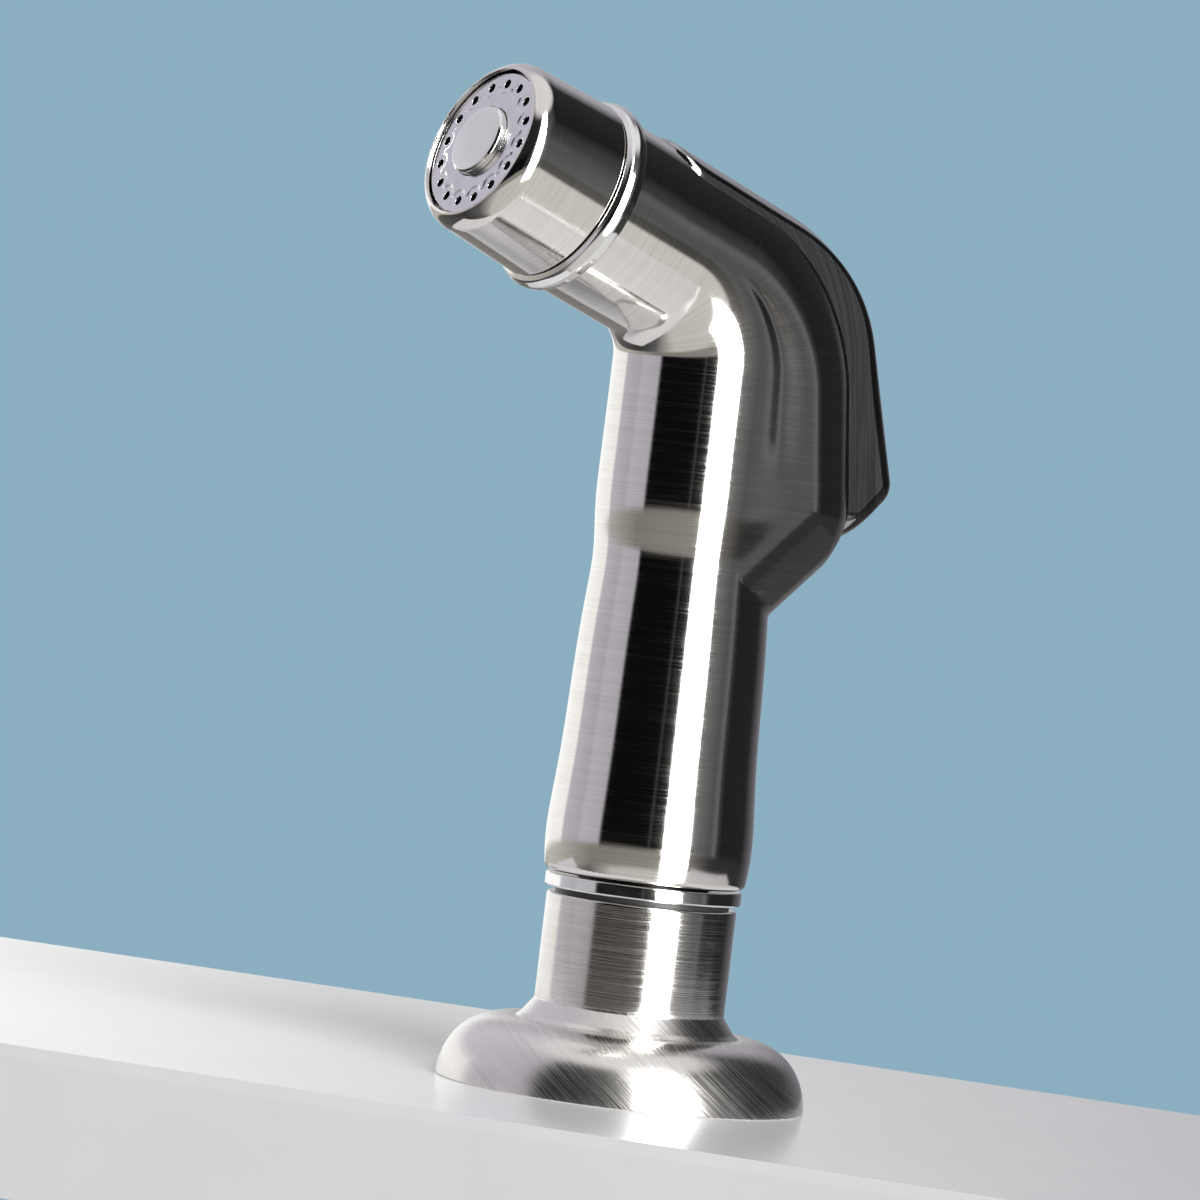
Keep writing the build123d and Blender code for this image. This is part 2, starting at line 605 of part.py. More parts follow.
skirt_corner_z = meeting_z - LEVER_SKIRT_Y * tan(tilt) + LEVER_SKIRT_Q / cos(tilt)
with BuildPart() as lever:
    with BuildSketch(side):
        with BuildLine():
            lever_back = FilletPolyline(
                head_point(LEVER_FRONT_S, LEVER_TOP_Q),
                LEVER_KNEE,
                LEVER_HEEL,
                LEVER_TOE,
                radius=(25.0, 4.0),
            )
            Line(lever_back @ 1, (LEVER_SKIRT_Y, LEVER_TOE[1]))
            lever_inside = FilletPolyline(
                (LEVER_SKIRT_Y, LEVER_TOE[1]),
                (LEVER_SKIRT_Y, skirt_corner_z),
                head_point(LEVER_FRONT_S, LEVER_SKIRT_Q),
                radius=10.0,
            )
            Line(lever_inside @ 1, lever_back @ 0)
        make_face()
    extrude(amount=LEVER_HALF, both=True)
    front_end = lever.faces().sort_by(head_axis)[-1]
    fillet(front_end.edges().filter_by(Axis((0, 0, 0), above)), CORNER_R)
    side_edges = lever.edges().filter_by(lambda e: abs(abs(e.center().X) - LEVER_HALF) < 0.01)
    outer_edges = side_edges.filter_by(lambda e: e.center().Y > 23.5 or height_above(e.center()) > 11)
    fillet(outer_edges, LEVER_EDGE_R)
    # the lower end is rounded like the slot's, which it swings into
    with BuildSketch(Plane.XZ):
        with Locations((0, LEVER_TOE[1] + CORNER_R / 2)):
            Rectangle(2 * LEVER_HALF, CORNER_R)
            Rectangle(2 * (LEVER_HALF - CORNER_R), CORNER_R, mode=Mode.SUBTRACT)
        with Locations((CORNER_R - LEVER_HALF, LEVER_TOE[1] + CORNER_R)):
            Circle(CORNER_R, mode=Mode.SUBTRACT)
        with Locations((LEVER_HALF - CORNER_R, LEVER_TOE[1] + CORNER_R)):
            Circle(CORNER_R, mode=Mode.SUBTRACT)
    extrude(amount=LEVER_HEEL[0] + 1, both=True, mode=Mode.SUBTRACT)
    # channel under the lever's skin
    with BuildSketch(side):
        with BuildLine():
            channel_back = FilletPolyline(
                head_point(LEVER_FRONT_S + LEVER_WALL, LEVER_TOP_Q - LEVER_WALL),
                (LEVER_KNEE[0] - 1.7, LEVER_KNEE[1] - 1.5),
                (LEVER_HEEL[0] - 2.4, LEVER_HEEL[1] + 0.8),
                (LEVER_TOE[0] - 0.6, LEVER_TOE[1] + 2.4),
                radius=(23.0, 3.0),
            )
            Polyline(
                channel_back @ 1,
                (LEVER_SKIRT_Y - 1, LEVER_TOE[1] + 2.4),
                (LEVER_SKIRT_Y - 1, skirt_corner_z - 6),
                head_point(LEVER_FRONT_S + LEVER_WALL + 14, LEVER_SKIRT_Q - 4),
                head_point(LEVER_FRONT_S + LEVER_WALL, LEVER_SKIRT_Q - 1),
                channel_back @ 0,
            )
        make_face()
    extrude(amount=LEVER_HALF - LEVER_WALL, both=True, mode=Mode.SUBTRACT)
    # pad that presses the valve stem, and the hinge boss
    with BuildSketch(side):
        with BuildLine():
            Polyline(
                (VALVE_STEM_END_Y, VALVE_Z - 3),
                (28.0, VALVE_Z - 1),
                (27.0, VALVE_Z + 6),
                (VALVE_STEM_END_Y, VALVE_Z + 5),
                close=True,
            )
        make_face()
    extrude(amount=3.0, both=True)
    with BuildSketch(side):
        with BuildLine():
            Polyline(
                head_point(PIN_S - 1.6, PIN_Q),
                head_point(PIN_S + 1.6, PIN_Q),
                head_point(PIN_S + 1.6, LEVER_TOP_Q - 1),
                head_point(PIN_S - 1.6, LEVER_TOP_Q - 1),
                close=True,
            )
        make_face()
    extrude(amount=LEVER_HALF - LEVER_WALL, both=True)
    with BuildSketch(side):
        with Locations(head_point(PIN_S, PIN_Q)):
            Circle(PIN_BOSS_R)
    extrude(amount=LEVER_HALF - 0.6, both=True)
    with BuildSketch(side):
        with Locations(head_point(PIN_S, PIN_Q)):
            Circle(PIN_R + RUNNING)
    extrude(amount=LEVER_HALF, both=True, mode=Mode.SUBTRACT)
save(lever.part, "lever")

with BuildPart() as lever_pin:
    with BuildSketch(side):
        with Locations(head_point(PIN_S, PIN_Q)):
            Circle(PIN_R)
    extrude(amount=PIN_HALF, both=True)
save(lever_pin.part, "lever_pin")

# ---- spray head ----


def head_revolve(label, *outline):
    """A piece turned about the head's axis, from (radius, distance behind the face) points."""
    with BuildPart() as piece:
        with BuildSketch(head_section):
            with BuildLine():
                Polyline(*[(radius, -s) for radius, s in outline], close=True)
            make_face()
        revolve(axis=head_axis)
    save(piece.part, label)


with BuildPart() as collar_ring:
    with BuildSketch(head_section):
        with BuildLine():
            Polyline(
                (BEAD_FRONT_R, -RING_FRONT_S),
                (SPIGOT_R + RUNNING, -RING_FRONT_S),
                (SPIGOT_R + RUNNING, -RING_BACK_S),
                (BEAD_BACK_R, -RING_BACK_S),
            )
            ThreePointArc(
                (BEAD_BACK_R, -RING_BACK_S),
                (BEAD_R, -(RING_FRONT_S + RING_BACK_S) / 2),
                (BEAD_FRONT_R, -RING_FRONT_S),
            )
        make_face()
    revolve(axis=head_axis)
save(collar_ring.part, "collar_ring")

shell_back_s = RING_FRONT_S - 0.3
with BuildPart() as nozzle_shell:
    with BuildSketch(head_section):
        with BuildLine():
            Polyline(
                (PLATE_R + 0.3, 0.6),
                (PLATE_R + 0.02, 0.3),
                (PLATE_R + 0.02, -PLATE_BACK_S),
                (HOLE_CIRCLE_R + HOLE_R + 0.06, -PLATE_BACK_S),
                (HOLE_CIRCLE_R + HOLE_R + 0.06, -WEB_BACK_S),
                (SPIGOT_R + RUNNING, -WEB_BACK_S),
                (SPIGOT_R + RUNNING, -shell_back_s),
                (SHELL_BACK_R - 0.3, -shell_back_s),
                (SHELL_BACK_R, -shell_back_s + 0.3),
                (SHELL_FRONT_R, -2.4),
            )
            ThreePointArc((SHELL_FRONT_R, -2.4), (SHELL_FRONT_R - 0.55, -0.35), (PLATE_R + 0.3, 0.6))
        make_face()
    revolve(axis=head_axis)
save(nozzle_shell.part, "nozzle_shell")

with BuildPart() as spray_face:
    with BuildSketch(head_plane(PLATE_BACK_S)):
        Circle(PLATE_R)
    extrude(amount=PLATE_BACK_S - PLATE_FRONT_S)
    with BuildSketch(head_plane(HUB_BACK_S)):
        Circle(HUB_R)
    extrude(amount=HUB_BACK_S - PLATE_BACK_S)
    with BuildSketch(head_plane(HUB_BACK_S)):
        with PolarLocations(HOLE_CIRCLE_R, HOLE_COUNT):
            Circle(HOLE_R)
    extrude(amount=HUB_BACK_S, mode=Mode.SUBTRACT)
    # stepped pocket for the button, the screw's head and its shank
    for radius, back in (
        (BUTTON_R, BUTTON_BACK_S),
        (SCREW_HEAD_R + 0.1, SCREW_HEAD_BACK_S),
        (SCREW_R + 0.1, HUB_BACK_S),
    ):
        with BuildSketch(head_plane(back)):
            Circle(radius)
        extrude(amount=back, mode=Mode.SUBTRACT)
save(spray_face.part, "spray_face")

head_revolve(
    "centre_button",
    (0, BUTTON_BACK_S),
    (BUTTON_R, BUTTON_BACK_S),
    (BUTTON_R, BUTTON_EDGE_S),
    (BUTTON_R - BUTTON_BEVEL, BUTTON_FRONT_S),
    (0, BUTTON_FRONT_S),
)
head_revolve(
    "face_screw",
    (0, BUTTON_BACK_S + RUNNING),
    (SCREW_HEAD_R, BUTTON_BACK_S + RUNNING),
    (SCREW_HEAD_R, SCREW_HEAD_BACK_S),
    (SCREW_R, SCREW_HEAD_BACK_S),
    (SCREW_R, SCREW_END_S),
    (0, SCREW_END_S),
)

with BuildPart() as jet_former:
    with BuildSketch(head_plane(FORMER_BACK_S)):
        Circle(SPIGOT_R - 0.1)
        Circle(SCREW_R, mode=Mode.SUBTRACT)
        with PolarLocations(FORMER_PORT_CIRCLE_R, FORMER_PORTS):
            Circle(FORMER_PORT_R, mode=Mode.SUBTRACT)
    extrude(amount=FORMER_BACK_S - WEB_BACK_S)
    with BuildSketch(head_plane(WEB_BACK_S)):
        Circle(HUB_R - 0.5)
        Circle(SCREW_R, mode=Mode.SUBTRACT)
    extrude(amount=WEB_BACK_S - HUB_BACK_S)
save(jet_former.part, "jet_former")

head_revolve(
    "nozzle_washer",
    (7.8, FORMER_BACK_S),
    (SPIGOT_R, FORMER_BACK_S),
    (SPIGOT_R, SPIGOT_FRONT_S),
    (7.8, SPIGOT_FRONT_S),
)
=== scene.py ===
"""Kitchen side sprayer with deck holder: detailed outer pieces, finishes, deck, light and camera.

The shapes below are worked out in millimetres, in the frame of the CAD, and stored in metres.
"""

import json
from math import atan2, cos, hypot, pi, radians, sin, tan

import bpy
import numpy as np
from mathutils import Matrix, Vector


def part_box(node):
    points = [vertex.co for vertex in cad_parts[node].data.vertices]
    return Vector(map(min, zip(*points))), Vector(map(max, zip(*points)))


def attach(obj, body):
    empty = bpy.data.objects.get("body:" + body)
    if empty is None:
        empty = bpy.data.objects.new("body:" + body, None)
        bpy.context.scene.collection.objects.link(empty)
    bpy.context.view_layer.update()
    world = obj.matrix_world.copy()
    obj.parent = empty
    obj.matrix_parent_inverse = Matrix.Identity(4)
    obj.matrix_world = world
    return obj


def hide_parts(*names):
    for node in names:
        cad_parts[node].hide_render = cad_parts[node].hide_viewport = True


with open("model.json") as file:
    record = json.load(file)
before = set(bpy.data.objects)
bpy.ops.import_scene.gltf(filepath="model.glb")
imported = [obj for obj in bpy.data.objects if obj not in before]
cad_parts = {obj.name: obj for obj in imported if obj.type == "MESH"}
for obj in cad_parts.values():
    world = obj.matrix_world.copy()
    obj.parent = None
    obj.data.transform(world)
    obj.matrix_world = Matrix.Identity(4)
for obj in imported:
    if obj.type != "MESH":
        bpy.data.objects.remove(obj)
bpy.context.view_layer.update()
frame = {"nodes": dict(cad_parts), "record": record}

MM = 0.001


# ---- measures read from the frame ----


def box_mm(node):
    """(lowest, highest) corner of a CAD node in millimetres."""
    low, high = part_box(node)
    return np.array(low) / MM, np.array(high) / MM


def middle(node):
    low, high = box_mm(node)
    return (low + high) / 2


PLATE_MIDDLE_S = 1.44  # from the spray face back to the middle of its plate
AXIS_POINT = middle("spray_face")
AXIS_BACK = middle("nozzle_washer")
tilt = atan2(AXIS_POINT[2] - AXIS_BACK[2], AXIS_BACK[1] - AXIS_POINT[1])
SPRAY = np.array([0.0, -cos(tilt), sin(tilt)])
ABOVE = np.array([0.0, sin(tilt), cos(tilt)])
FACE = AXIS_POINT + SPRAY * PLATE_MIDDLE_S
MEETING_Z = FACE[2] + FACE[1] * tan(tilt)

HANDLE_BOTTOM = box_mm("handle_body")[0][2]
PIN_Y, PIN_Z = middle("lever_pin")[1:]
VALVE_Z = middle("valve_stem")[2]

TUBE_R = 12.7  # grip where the bend starts
BEND_R = 16.0  # the bend's centre line
BACK_R = 12.75  # about the cheek's spine
BACK_ARC_R = 19.0  # the cheek's spine where it turns
HEAD_R = 12.8
RING_BACK_S, RING_FRONT_S = 17.78, 14.49  # collar ring, behind the spray face
CHEEK_START_Z = 71.3  # the cheek's spine leaves the grip's axis here
CHEEK_KNEE = np.array([11.45, 82.75])
CHEEK_TOP_Y = 7.75
CHEEK_TOP = np.array([CHEEK_TOP_Y, MEETING_Z - CHEEK_TOP_Y * tan(tilt)])


def head_s(y, z):
    """Distance behind the spray face, along the head's axis."""
    return -((y - FACE[1]) * SPRAY[1] + (z - FACE[2]) * SPRAY[2])


def head_q(y, z):
    """Distance above the head's axis."""
    return (y - FACE[1]) * ABOVE[1] + (z - FACE[2]) * ABOVE[2]


def head_point(s, q):
    """(y, z) of the point s behind the spray face and q above the head's axis."""
    point = FACE - SPRAY * s + ABOVE * q
    return (point[1], point[2])


# ---- shape language: signed distances, negative inside ----


def blend_min(a, b, k):
    """Union with a fillet about k wide."""
    h = np.clip(0.5 + 0.5 * (b - a) / k, 0.0, 1.0)
    return b + (a - b) * h - k * h * (1.0 - h)


def round_max(a, b, r):
    """Intersection with its edge rounded by r."""
    corner = np.hypot(np.maximum(a + r, 0.0), np.maximum(b + r, 0.0))
    return np.minimum(np.maximum(a, b), -r) + corner


def ease(low, high, x):
    """0 before low, 1 after high, smooth between."""
    t = np.clip((x - low) / (high - low), 0.0, 1.0)
    return t * t * (3.0 - 2.0 * t)


def capped(radial, along, radius, start, end):
    """A cylinder from start to end along its axis."""
    return np.maximum(radial - radius, np.maximum(start - along, along - end))


def polygon_distance(y, z, points):
    """Signed distance to a closed outline in the YZ plane."""
    best = np.full(y.shape, 1e9)
    inside = np.zeros(y.shape, bool)
    for (ay, az), (by, bz) in zip(points, points[1:] + points[:1]):
        ey, ez = by - ay, bz - az
        length = ey * ey + ez * ez
        if length < 1e-12:
            continue
        t = np.clip(((y - ay) * ey + (z - az) * ez) / length, 0.0, 1.0)
        best = np.minimum(best, (y - ay - t * ey) ** 2 + (z - az - t * ez) ** 2)
        crosses = (az > z) != (bz > z)
        if ez != 0.0:
            inside ^= crosses & (y < ay + (z - az) * ey / ez)
    return np.where(inside, -1.0, 1.0) * np.sqrt(best)


def filleted(points, radii, steps):
    """An open run of points with the inner corners replaced by arcs."""
    path = [tuple(points[0])]
    for i in range(1, len(points) - 1):
        p, a, b = (np.array(points[j], float) for j in (i, i - 1, i + 1))
        radius = radii[i - 1]
        u, v = (a - p) / np.linalg.norm(a - p), (b - p) / np.linalg.norm(b - p)
        half = np.arccos(np.clip(u @ v, -1, 1)) / 2
        reach = radius / tan(half)
        centre = p + (u + v) / np.linalg.norm(u + v) * radius / sin(half)
        start, end = p + u * reach - centre, p + v * reach - centre
        turn = atan2(start[0] * end[1] - start[1] * end[0], start @ end)
        for k in range(steps + 1):
            angle = turn * k / steps
            path.append(
                (
                    centre[0] + start[0] * cos(angle) - start[1] * sin(angle),
                    centre[1] + start[0] * sin(angle) + start[1] * cos(angle),
                )
            )
    path.append(tuple(points[-1]))
    return path


def clamped_spline(xs, ys):
    """Coefficients of the cubic through the points that is level at both ends."""
    xs, ys = np.array(xs, float), np.array(ys, float)
    n, h = len(xs), np.diff(xs)
    a, rhs = np.zeros((n, n)), np.zeros(n)
    a[0, :2] = 2 * h[0], h[0]
    rhs[0] = 6 * (ys[1] - ys[0]) / h[0]
    a[-1, -2:] = h[-1], 2 * h[-1]
    rhs[-1] = -6 * (ys[-1] - ys[-2]) / h[-1]
    for i in range(1, n - 1):
        a[i, i - 1 : i + 2] = h[i - 1], 2 * (h[i - 1] + h[i]), h[i]
        rhs[i] = 6 * ((ys[i + 1] - ys[i]) / h[i] - (ys[i] - ys[i - 1]) / h[i - 1])
    return xs, ys, np.linalg.solve(a, rhs)


def spline_at(spline, x):
    """The spline's value; beyond its ends, the end's value."""
    xs, ys, m = spline
    x = np.clip(x, xs[0], xs[-1])
    i = np.clip(np.searchsorted(xs, x) - 1, 0, len(xs) - 2)
    h = xs[i + 1] - xs[i]
    a, b = (xs[i + 1] - x) / h, (x - xs[i]) / h
    return a * ys[i] + b * ys[i + 1] + ((a**3 - a) * m[i] + (b**3 - b) * m[i + 1]) * h * h / 6


# ---- the handle's two spines, in the YZ plane ----

bend_angle = pi / 2 - tilt
BEND_Z = MEETING_Z - BEND_R * tan(bend_angle / 2)
bend_end = np.array([-BEND_R + BEND_R * cos(bend_angle), BEND_Z + BEND_R * sin(bend_angle)])
BEND_T = BEND_Z + BEND_R * bend_angle

lean = atan2(CHEEK_KNEE[0] - CHEEK_TOP[0], CHEEK_TOP[1] - CHEEK_KNEE[1])
back_turn = bend_angle - lean
back_tangent = BACK_ARC_R * tan(back_turn / 2)
back_rise = hypot(*(CHEEK_KNEE - CHEEK_TOP)) - back_tangent
arc_start = CHEEK_KNEE + np.array([-sin(lean), cos(lean)]) * back_rise
arc_centre = arc_start - np.array([cos(lean), sin(lean)]) * BACK_ARC_R
arc_end = arc_centre + BACK_ARC_R * np.array([cos(bend_angle), sin(bend_angle)])


def front_spine(y, z):
    """(t along the spine, w outwards from it) of points in the YZ plane; t is z on the straight grip."""
    angle = np.arctan2(z - BEND_Z, y + BEND_R)
    radius = np.hypot(y + BEND_R, z - BEND_Z)
    along = (y - bend_end[0]) * SPRAY[1] + (z - bend_end[1]) * SPRAY[2]
    lift = (y - bend_end[0]) * ABOVE[1] + (z - bend_end[1]) * ABOVE[2]
    on_head = (along > 0) & (angle > bend_angle * 0.5) | (angle > bend_angle)
    on_grip = (angle < 0) | ((z < BEND_Z) & (y > -BEND_R))
    t = BEND_Z + BEND_R * np.clip(angle, 0, bend_angle)
    w = radius - BEND_R
    t, w = np.where(on_head, BEND_T + along, t), np.where(on_head, lift, w)
    on_grip &= ~on_head
    return np.where(on_grip, z, t), np.where(on_grip, y, w)


def back_spine(y, z):
    """(distance from the cheek's spine, how far up its ramp from 0 to 1) of points in the YZ plane."""

    def to_line(start, direction, length):
        """(distance from a straight piece of the spine, how far along it) in millimetres."""
        u, v = y - start[0], z - start[1]
        along = np.clip(u * direction[0] + v * direction[1], 0, length)
        return np.hypot(u - along * direction[0], v - along * direction[1]), along

    foot = np.array([0.0, CHEEK_START_Z])
    ramp_length = hypot(*(CHEEK_KNEE - foot))
    best, along_ramp = to_line(foot, (CHEEK_KNEE - foot) / ramp_length, ramp_length)
    best = np.minimum(best, to_line(CHEEK_KNEE, (-sin(lean), cos(lean)), back_rise)[0])
    angle = np.clip(np.arctan2(z - arc_centre[1], y - arc_centre[0]), lean, bend_angle)
    arc_y = arc_centre[0] + BACK_ARC_R * np.cos(angle)
    arc_z = arc_centre[1] + BACK_ARC_R * np.sin(angle)
    best = np.minimum(best, np.hypot(y - arc_y, z - arc_z))
    best = np.minimum(best, to_line(arc_end, SPRAY[1:], hypot(*(bend_end - arc_end)))[0])
    return best, along_ramp / ramp_length


# how far the cheek's spine stands behind the front one, by t
samples = [np.array([0.0, CHEEK_START_Z]), CHEEK_KNEE, arc_start]
for a in np.linspace(lean, bend_angle, 40)[1:]:
    samples.append(arc_centre + BACK_ARC_R * np.array([cos(a), sin(a)]))
samples += [arc_end + (bend_end - arc_end) * k / 20 for k in range(1, 21)]
reach_t, reach_w = front_spine(*np.array(samples).T)
order = np.argsort(reach_t)
reach_t, reach_w = reach_t[order], reach_w[order]
REACH_END_T = reach_t[-1]

# Heights on the grip and its radii there. They follow the radii read off the photo's outline,
# smoothed for even reflections, and are up to 0.3 mm off them.
GRIP = clamped_spline(
    (HANDLE_BOTTOM - 0.6, HANDLE_BOTTOM + 1.6, 35.0, 40.0, 46.0, 58.0, 68.0, 73.0, 79.5, 86.0, BEND_Z),
    (13.74, 13.95, 14.18, 13.92, 13.5, 13.05, 12.5, 12.25, 12.7, 12.78, TUBE_R),
)
GRIP_EDGE_R = 0.9  # rounding of the grip's bottom edge
RAMP_STEP = 0.58  # the ramp's foot is this much thinner than the cheek
CHEEK_BLEND = 0.6
CHEEK_BLEND_W = (3, 9)  # the blend widens between these distances behind the front spine
WHOLE_CHEEK_T = 88  # above it the cheek is one flat-sided loft, below it a ramp beside the grip
HOLLOW_DEPTH = 0.22  # shallow hollow in the cheek's sides, and where it starts and ends
HOLLOW_START_T, HOLLOW_END_T = (84, 92), (106, 115)
RING_LAP = 0.25  # the head's neck reaches this far into the collar ring
FAR = 50.0  # a distance that no surface reaches


def grip_radius(t):
    bend_r = TUBE_R + (BACK_R - TUBE_R) * ease(BEND_Z, REACH_END_T, t)
    return np.where(t < BEND_Z, spline_at(GRIP, t), bend_r)


def body_outside(x, y, z):
    """The grip, bend, head and cheek, before anything is cut from them."""
    t, w = front_spine(y, z)
    front_r = grip_radius(t) + (HEAD_R - BACK_R) * ease(REACH_END_T, REACH_END_T + 8, t)
    front = np.hypot(x, w) - front_r
    away, up = back_spine(y, z)
    back_r = BACK_R - RAMP_STEP * (1 - up)
    back = np.hypot(x, away) - back_r
    width = np.interp(t, reach_t, reach_w, left=0.0, right=0.0)
    share = ease(0, 1, w / np.maximum(width, 1e-6))
    hollow = HOLLOW_DEPTH * ease(*HOLLOW_START_T, t) * (1 - ease(*HOLLOW_END_T, t)) * np.sin(pi * share) ** 2
    flat = np.abs(x) - (front_r + (back_r - front_r) * share - hollow)
    between = (w > 0) & (w < width)
    beside_ramp = np.where(between, flat, np.where((w < 0) & (t > CHEEK_START_Z), FAR, back))
    low = blend_min(front, beside_ramp, 0.0001 + CHEEK_BLEND * ease(*CHEEK_BLEND_W, w))
    high = np.where(between, flat, np.where((w > 0) & (t < REACH_END_T), back, front))
    body = np.where(t < WHOLE_CHEEK_T, low, high)
    body = round_max(body, HANDLE_BOTTOM - z, GRIP_EDGE_R)
    return np.maximum(body, RING_BACK_S - RING_LAP - head_s(y, z))


# the lever's slot in the back
SLOT_HALF = 8.5
SLOT_FRONT_S = 24.4
SLOT_FLOOR_Q, SLOT_FLOOR_Y, SLOT_FLOOR_R = 4.2, 12.0, 6.0
SLOT_BOTTOM_Z = 74.5
CORNER_R = 5.0  # corners of the slot and of the lever in it
RIM_R = 0.5


def slot_space(x, y, z):
    ends = np.maximum(SLOT_FRONT_S - head_s(y, z), SLOT_BOTTOM_Z - z)
    walls = round_max(np.abs(x) - SLOT_HALF, ends, CORNER_R)
    floor = -round_max(head_q(y, z) - SLOT_FLOOR_Q, y - SLOT_FLOOR_Y, SLOT_FLOOR_R)
    return np.maximum(walls, floor)


SPIGOT_R, SPIGOT_FRONT_S = 10.38, 8.2  # the front shell screws on to it
FEED_Y, RISER_Y = -5.5, 2.75  # water up to the valve, and on to the head
SPIGOT_BORE_S = 8.0  # the bores in the spigot start in front of it


def handle_shape(x, y, z):
    s, q = head_s(y, z), head_q(y, z)
    body = round_max(body_outside(x, y, z), -slot_space(x, y, z), RIM_R)
    about_head = np.hypot(x, q)
    body = np.minimum(body, capped(about_head, s, SPIGOT_R, SPIGOT_FRONT_S, RING_BACK_S + 1))
    about_z = np.hypot(x, y)
    about_valve = np.hypot(x, z - VALVE_Z)
    about_pin = np.hypot(y - PIN_Y, z - PIN_Z)
    for cut in (
        # socket of the coupling's stem, groove of its clip, wide part of the water passage
        capped(about_z, z, 8.95, HANDLE_BOTTOM - 5, 43.25),
        capped(about_z, z, 9.9, 40.3, 41.7),
        capped(about_z, z, 8.0, 43.0, 72.0),
        # feed to the valve, the valve's chamber in three steps, riser to the head
        capped(np.hypot(x, y - FEED_Y), z, 2.4, 71.0, VALVE_Z),
        capped(about_valve, y, 5.2, -10.4, -1.0),
        capped(about_valve, y, 6.0, -1.0, 4.8),
        capped(about_valve, y, 6.6, 4.8, SLOT_FLOOR_Y + 1),
        capped(np.hypot(x, y - RISER_Y), z, 1.85, VALVE_Z, MEETING_Z - 0.95),
        # outlet along the head, its wide front part, the lever pin's blind bore
        capped(about_head, s, 3.0, SPIGOT_BORE_S, (RISER_Y - FACE[1]) / cos(tilt)),
        capped(about_head, s, 6.2, SPIGOT_BORE_S, 20.2),
        capped(about_pin, np.abs(x), 0.9, -1.0, 9.2),
    ):
        body = np.maximum(body, -cut)
    return body


LEVER_HALF = 8.1
LEVER_FRONT_S = 24.8
LEVER_TOP_Q = 13.35
LEVER_KNEE = (20.6, 118.5)
LEVER_HEEL = (30.38, 85.8)
LEVER_TOE = (23.1, 78.0)
LEVER_WALL = 2.0
LEVER_FLAT_Z, LEVER_FULL_Z = 122, 96  # downwards between these the crown flattens and its edges soften
CROWN_R, CROWN_GROWS = LEVER_TOP_Q, 18.0
EDGE_R, EDGE_GROWS = 0.5, 1.9
UNDERSIDE_Q, UNDERSIDE_Y, UNDERSIDE_R = 6.2, 16.6, 10.0
HOLLOW_BOTTOM_Z = 80.4
PAD_HALF, PAD_Y, PAD_Z, PAD_HALF_HEIGHT = 3.0, 17.0, 85.0, 4.2  # it pushes the valve stem
WEB_S, WEB_HALF, WEB_BOTTOM_Q = 29.0, 1.6, 7.2
SKIN = 0.6  # pad, web and boss stay this far inside the outer faces
PIN_BOSS_R, PIN_BORE_R = 2.0, 0.95

lever_line = filleted(
    [head_point(LEVER_FRONT_S - 6, LEVER_TOP_Q), LEVER_KNEE, LEVER_HEEL, LEVER_TOE, (15.0, 69.3)],
    [25.0, 4.0, 1.0],
    steps=20,
)
lever_outline = lever_line + [(0.0, 69.3), (-30.0, 90.0), head_point(LEVER_FRONT_S - 6, -10.0)]


def all_of(*parts):
    """Intersection with sharp edges."""
    return np.maximum.reduce(parts)


def lever_shape(x, y, z):
    s, q = head_s(y, z), head_q(y, z)
    half = np.abs(x)
    depth = polygon_distance(y, z, lever_outline)
    lower = ease(LEVER_FLAT_Z, LEVER_FULL_Z, z)
    crown_r = CROWN_R + CROWN_GROWS * lower
    top = depth + crown_r - np.sqrt(np.maximum(crown_r**2 - np.minimum(x * x, 90.0), 1.0))
    ends = np.maximum(LEVER_FRONT_S - s, LEVER_TOE[1] - z)
    walls = round_max(half - LEVER_HALF, ends, CORNER_R)
    body = round_max(top, walls, EDGE_R + EDGE_GROWS * lower)
    body = np.maximum(body, -round_max(q - UNDERSIDE_Q, y - UNDERSIDE_Y, UNDERSIDE_R))
    inside = half - (LEVER_HALF - LEVER_WALL)
    hollow = all_of(top + LEVER_WALL, inside, HOLLOW_BOTTOM_Z - z, LEVER_FRONT_S + LEVER_WALL - s)
    body = np.maximum(body, -hollow)
    within = top + SKIN
    pad = all_of(half - PAD_HALF, PAD_Y - y, np.abs(z - PAD_Z) - PAD_HALF_HEIGHT, within)
    web = all_of(half - (LEVER_HALF - 1), np.abs(s - WEB_S) - WEB_HALF, WEB_BOTTOM_Q - q, within)
    about_pin = np.hypot(y - PIN_Y, z - PIN_Z)
    boss = capped(about_pin, half, PIN_BOSS_R, -1.0, LEVER_HALF - SKIN)
    body = np.minimum.reduce((body, pad, web, boss))
    return np.maximum(body, -capped(about_pin, half, PIN_BORE_R, -1.0, 20.0))


# ---- meshing ----


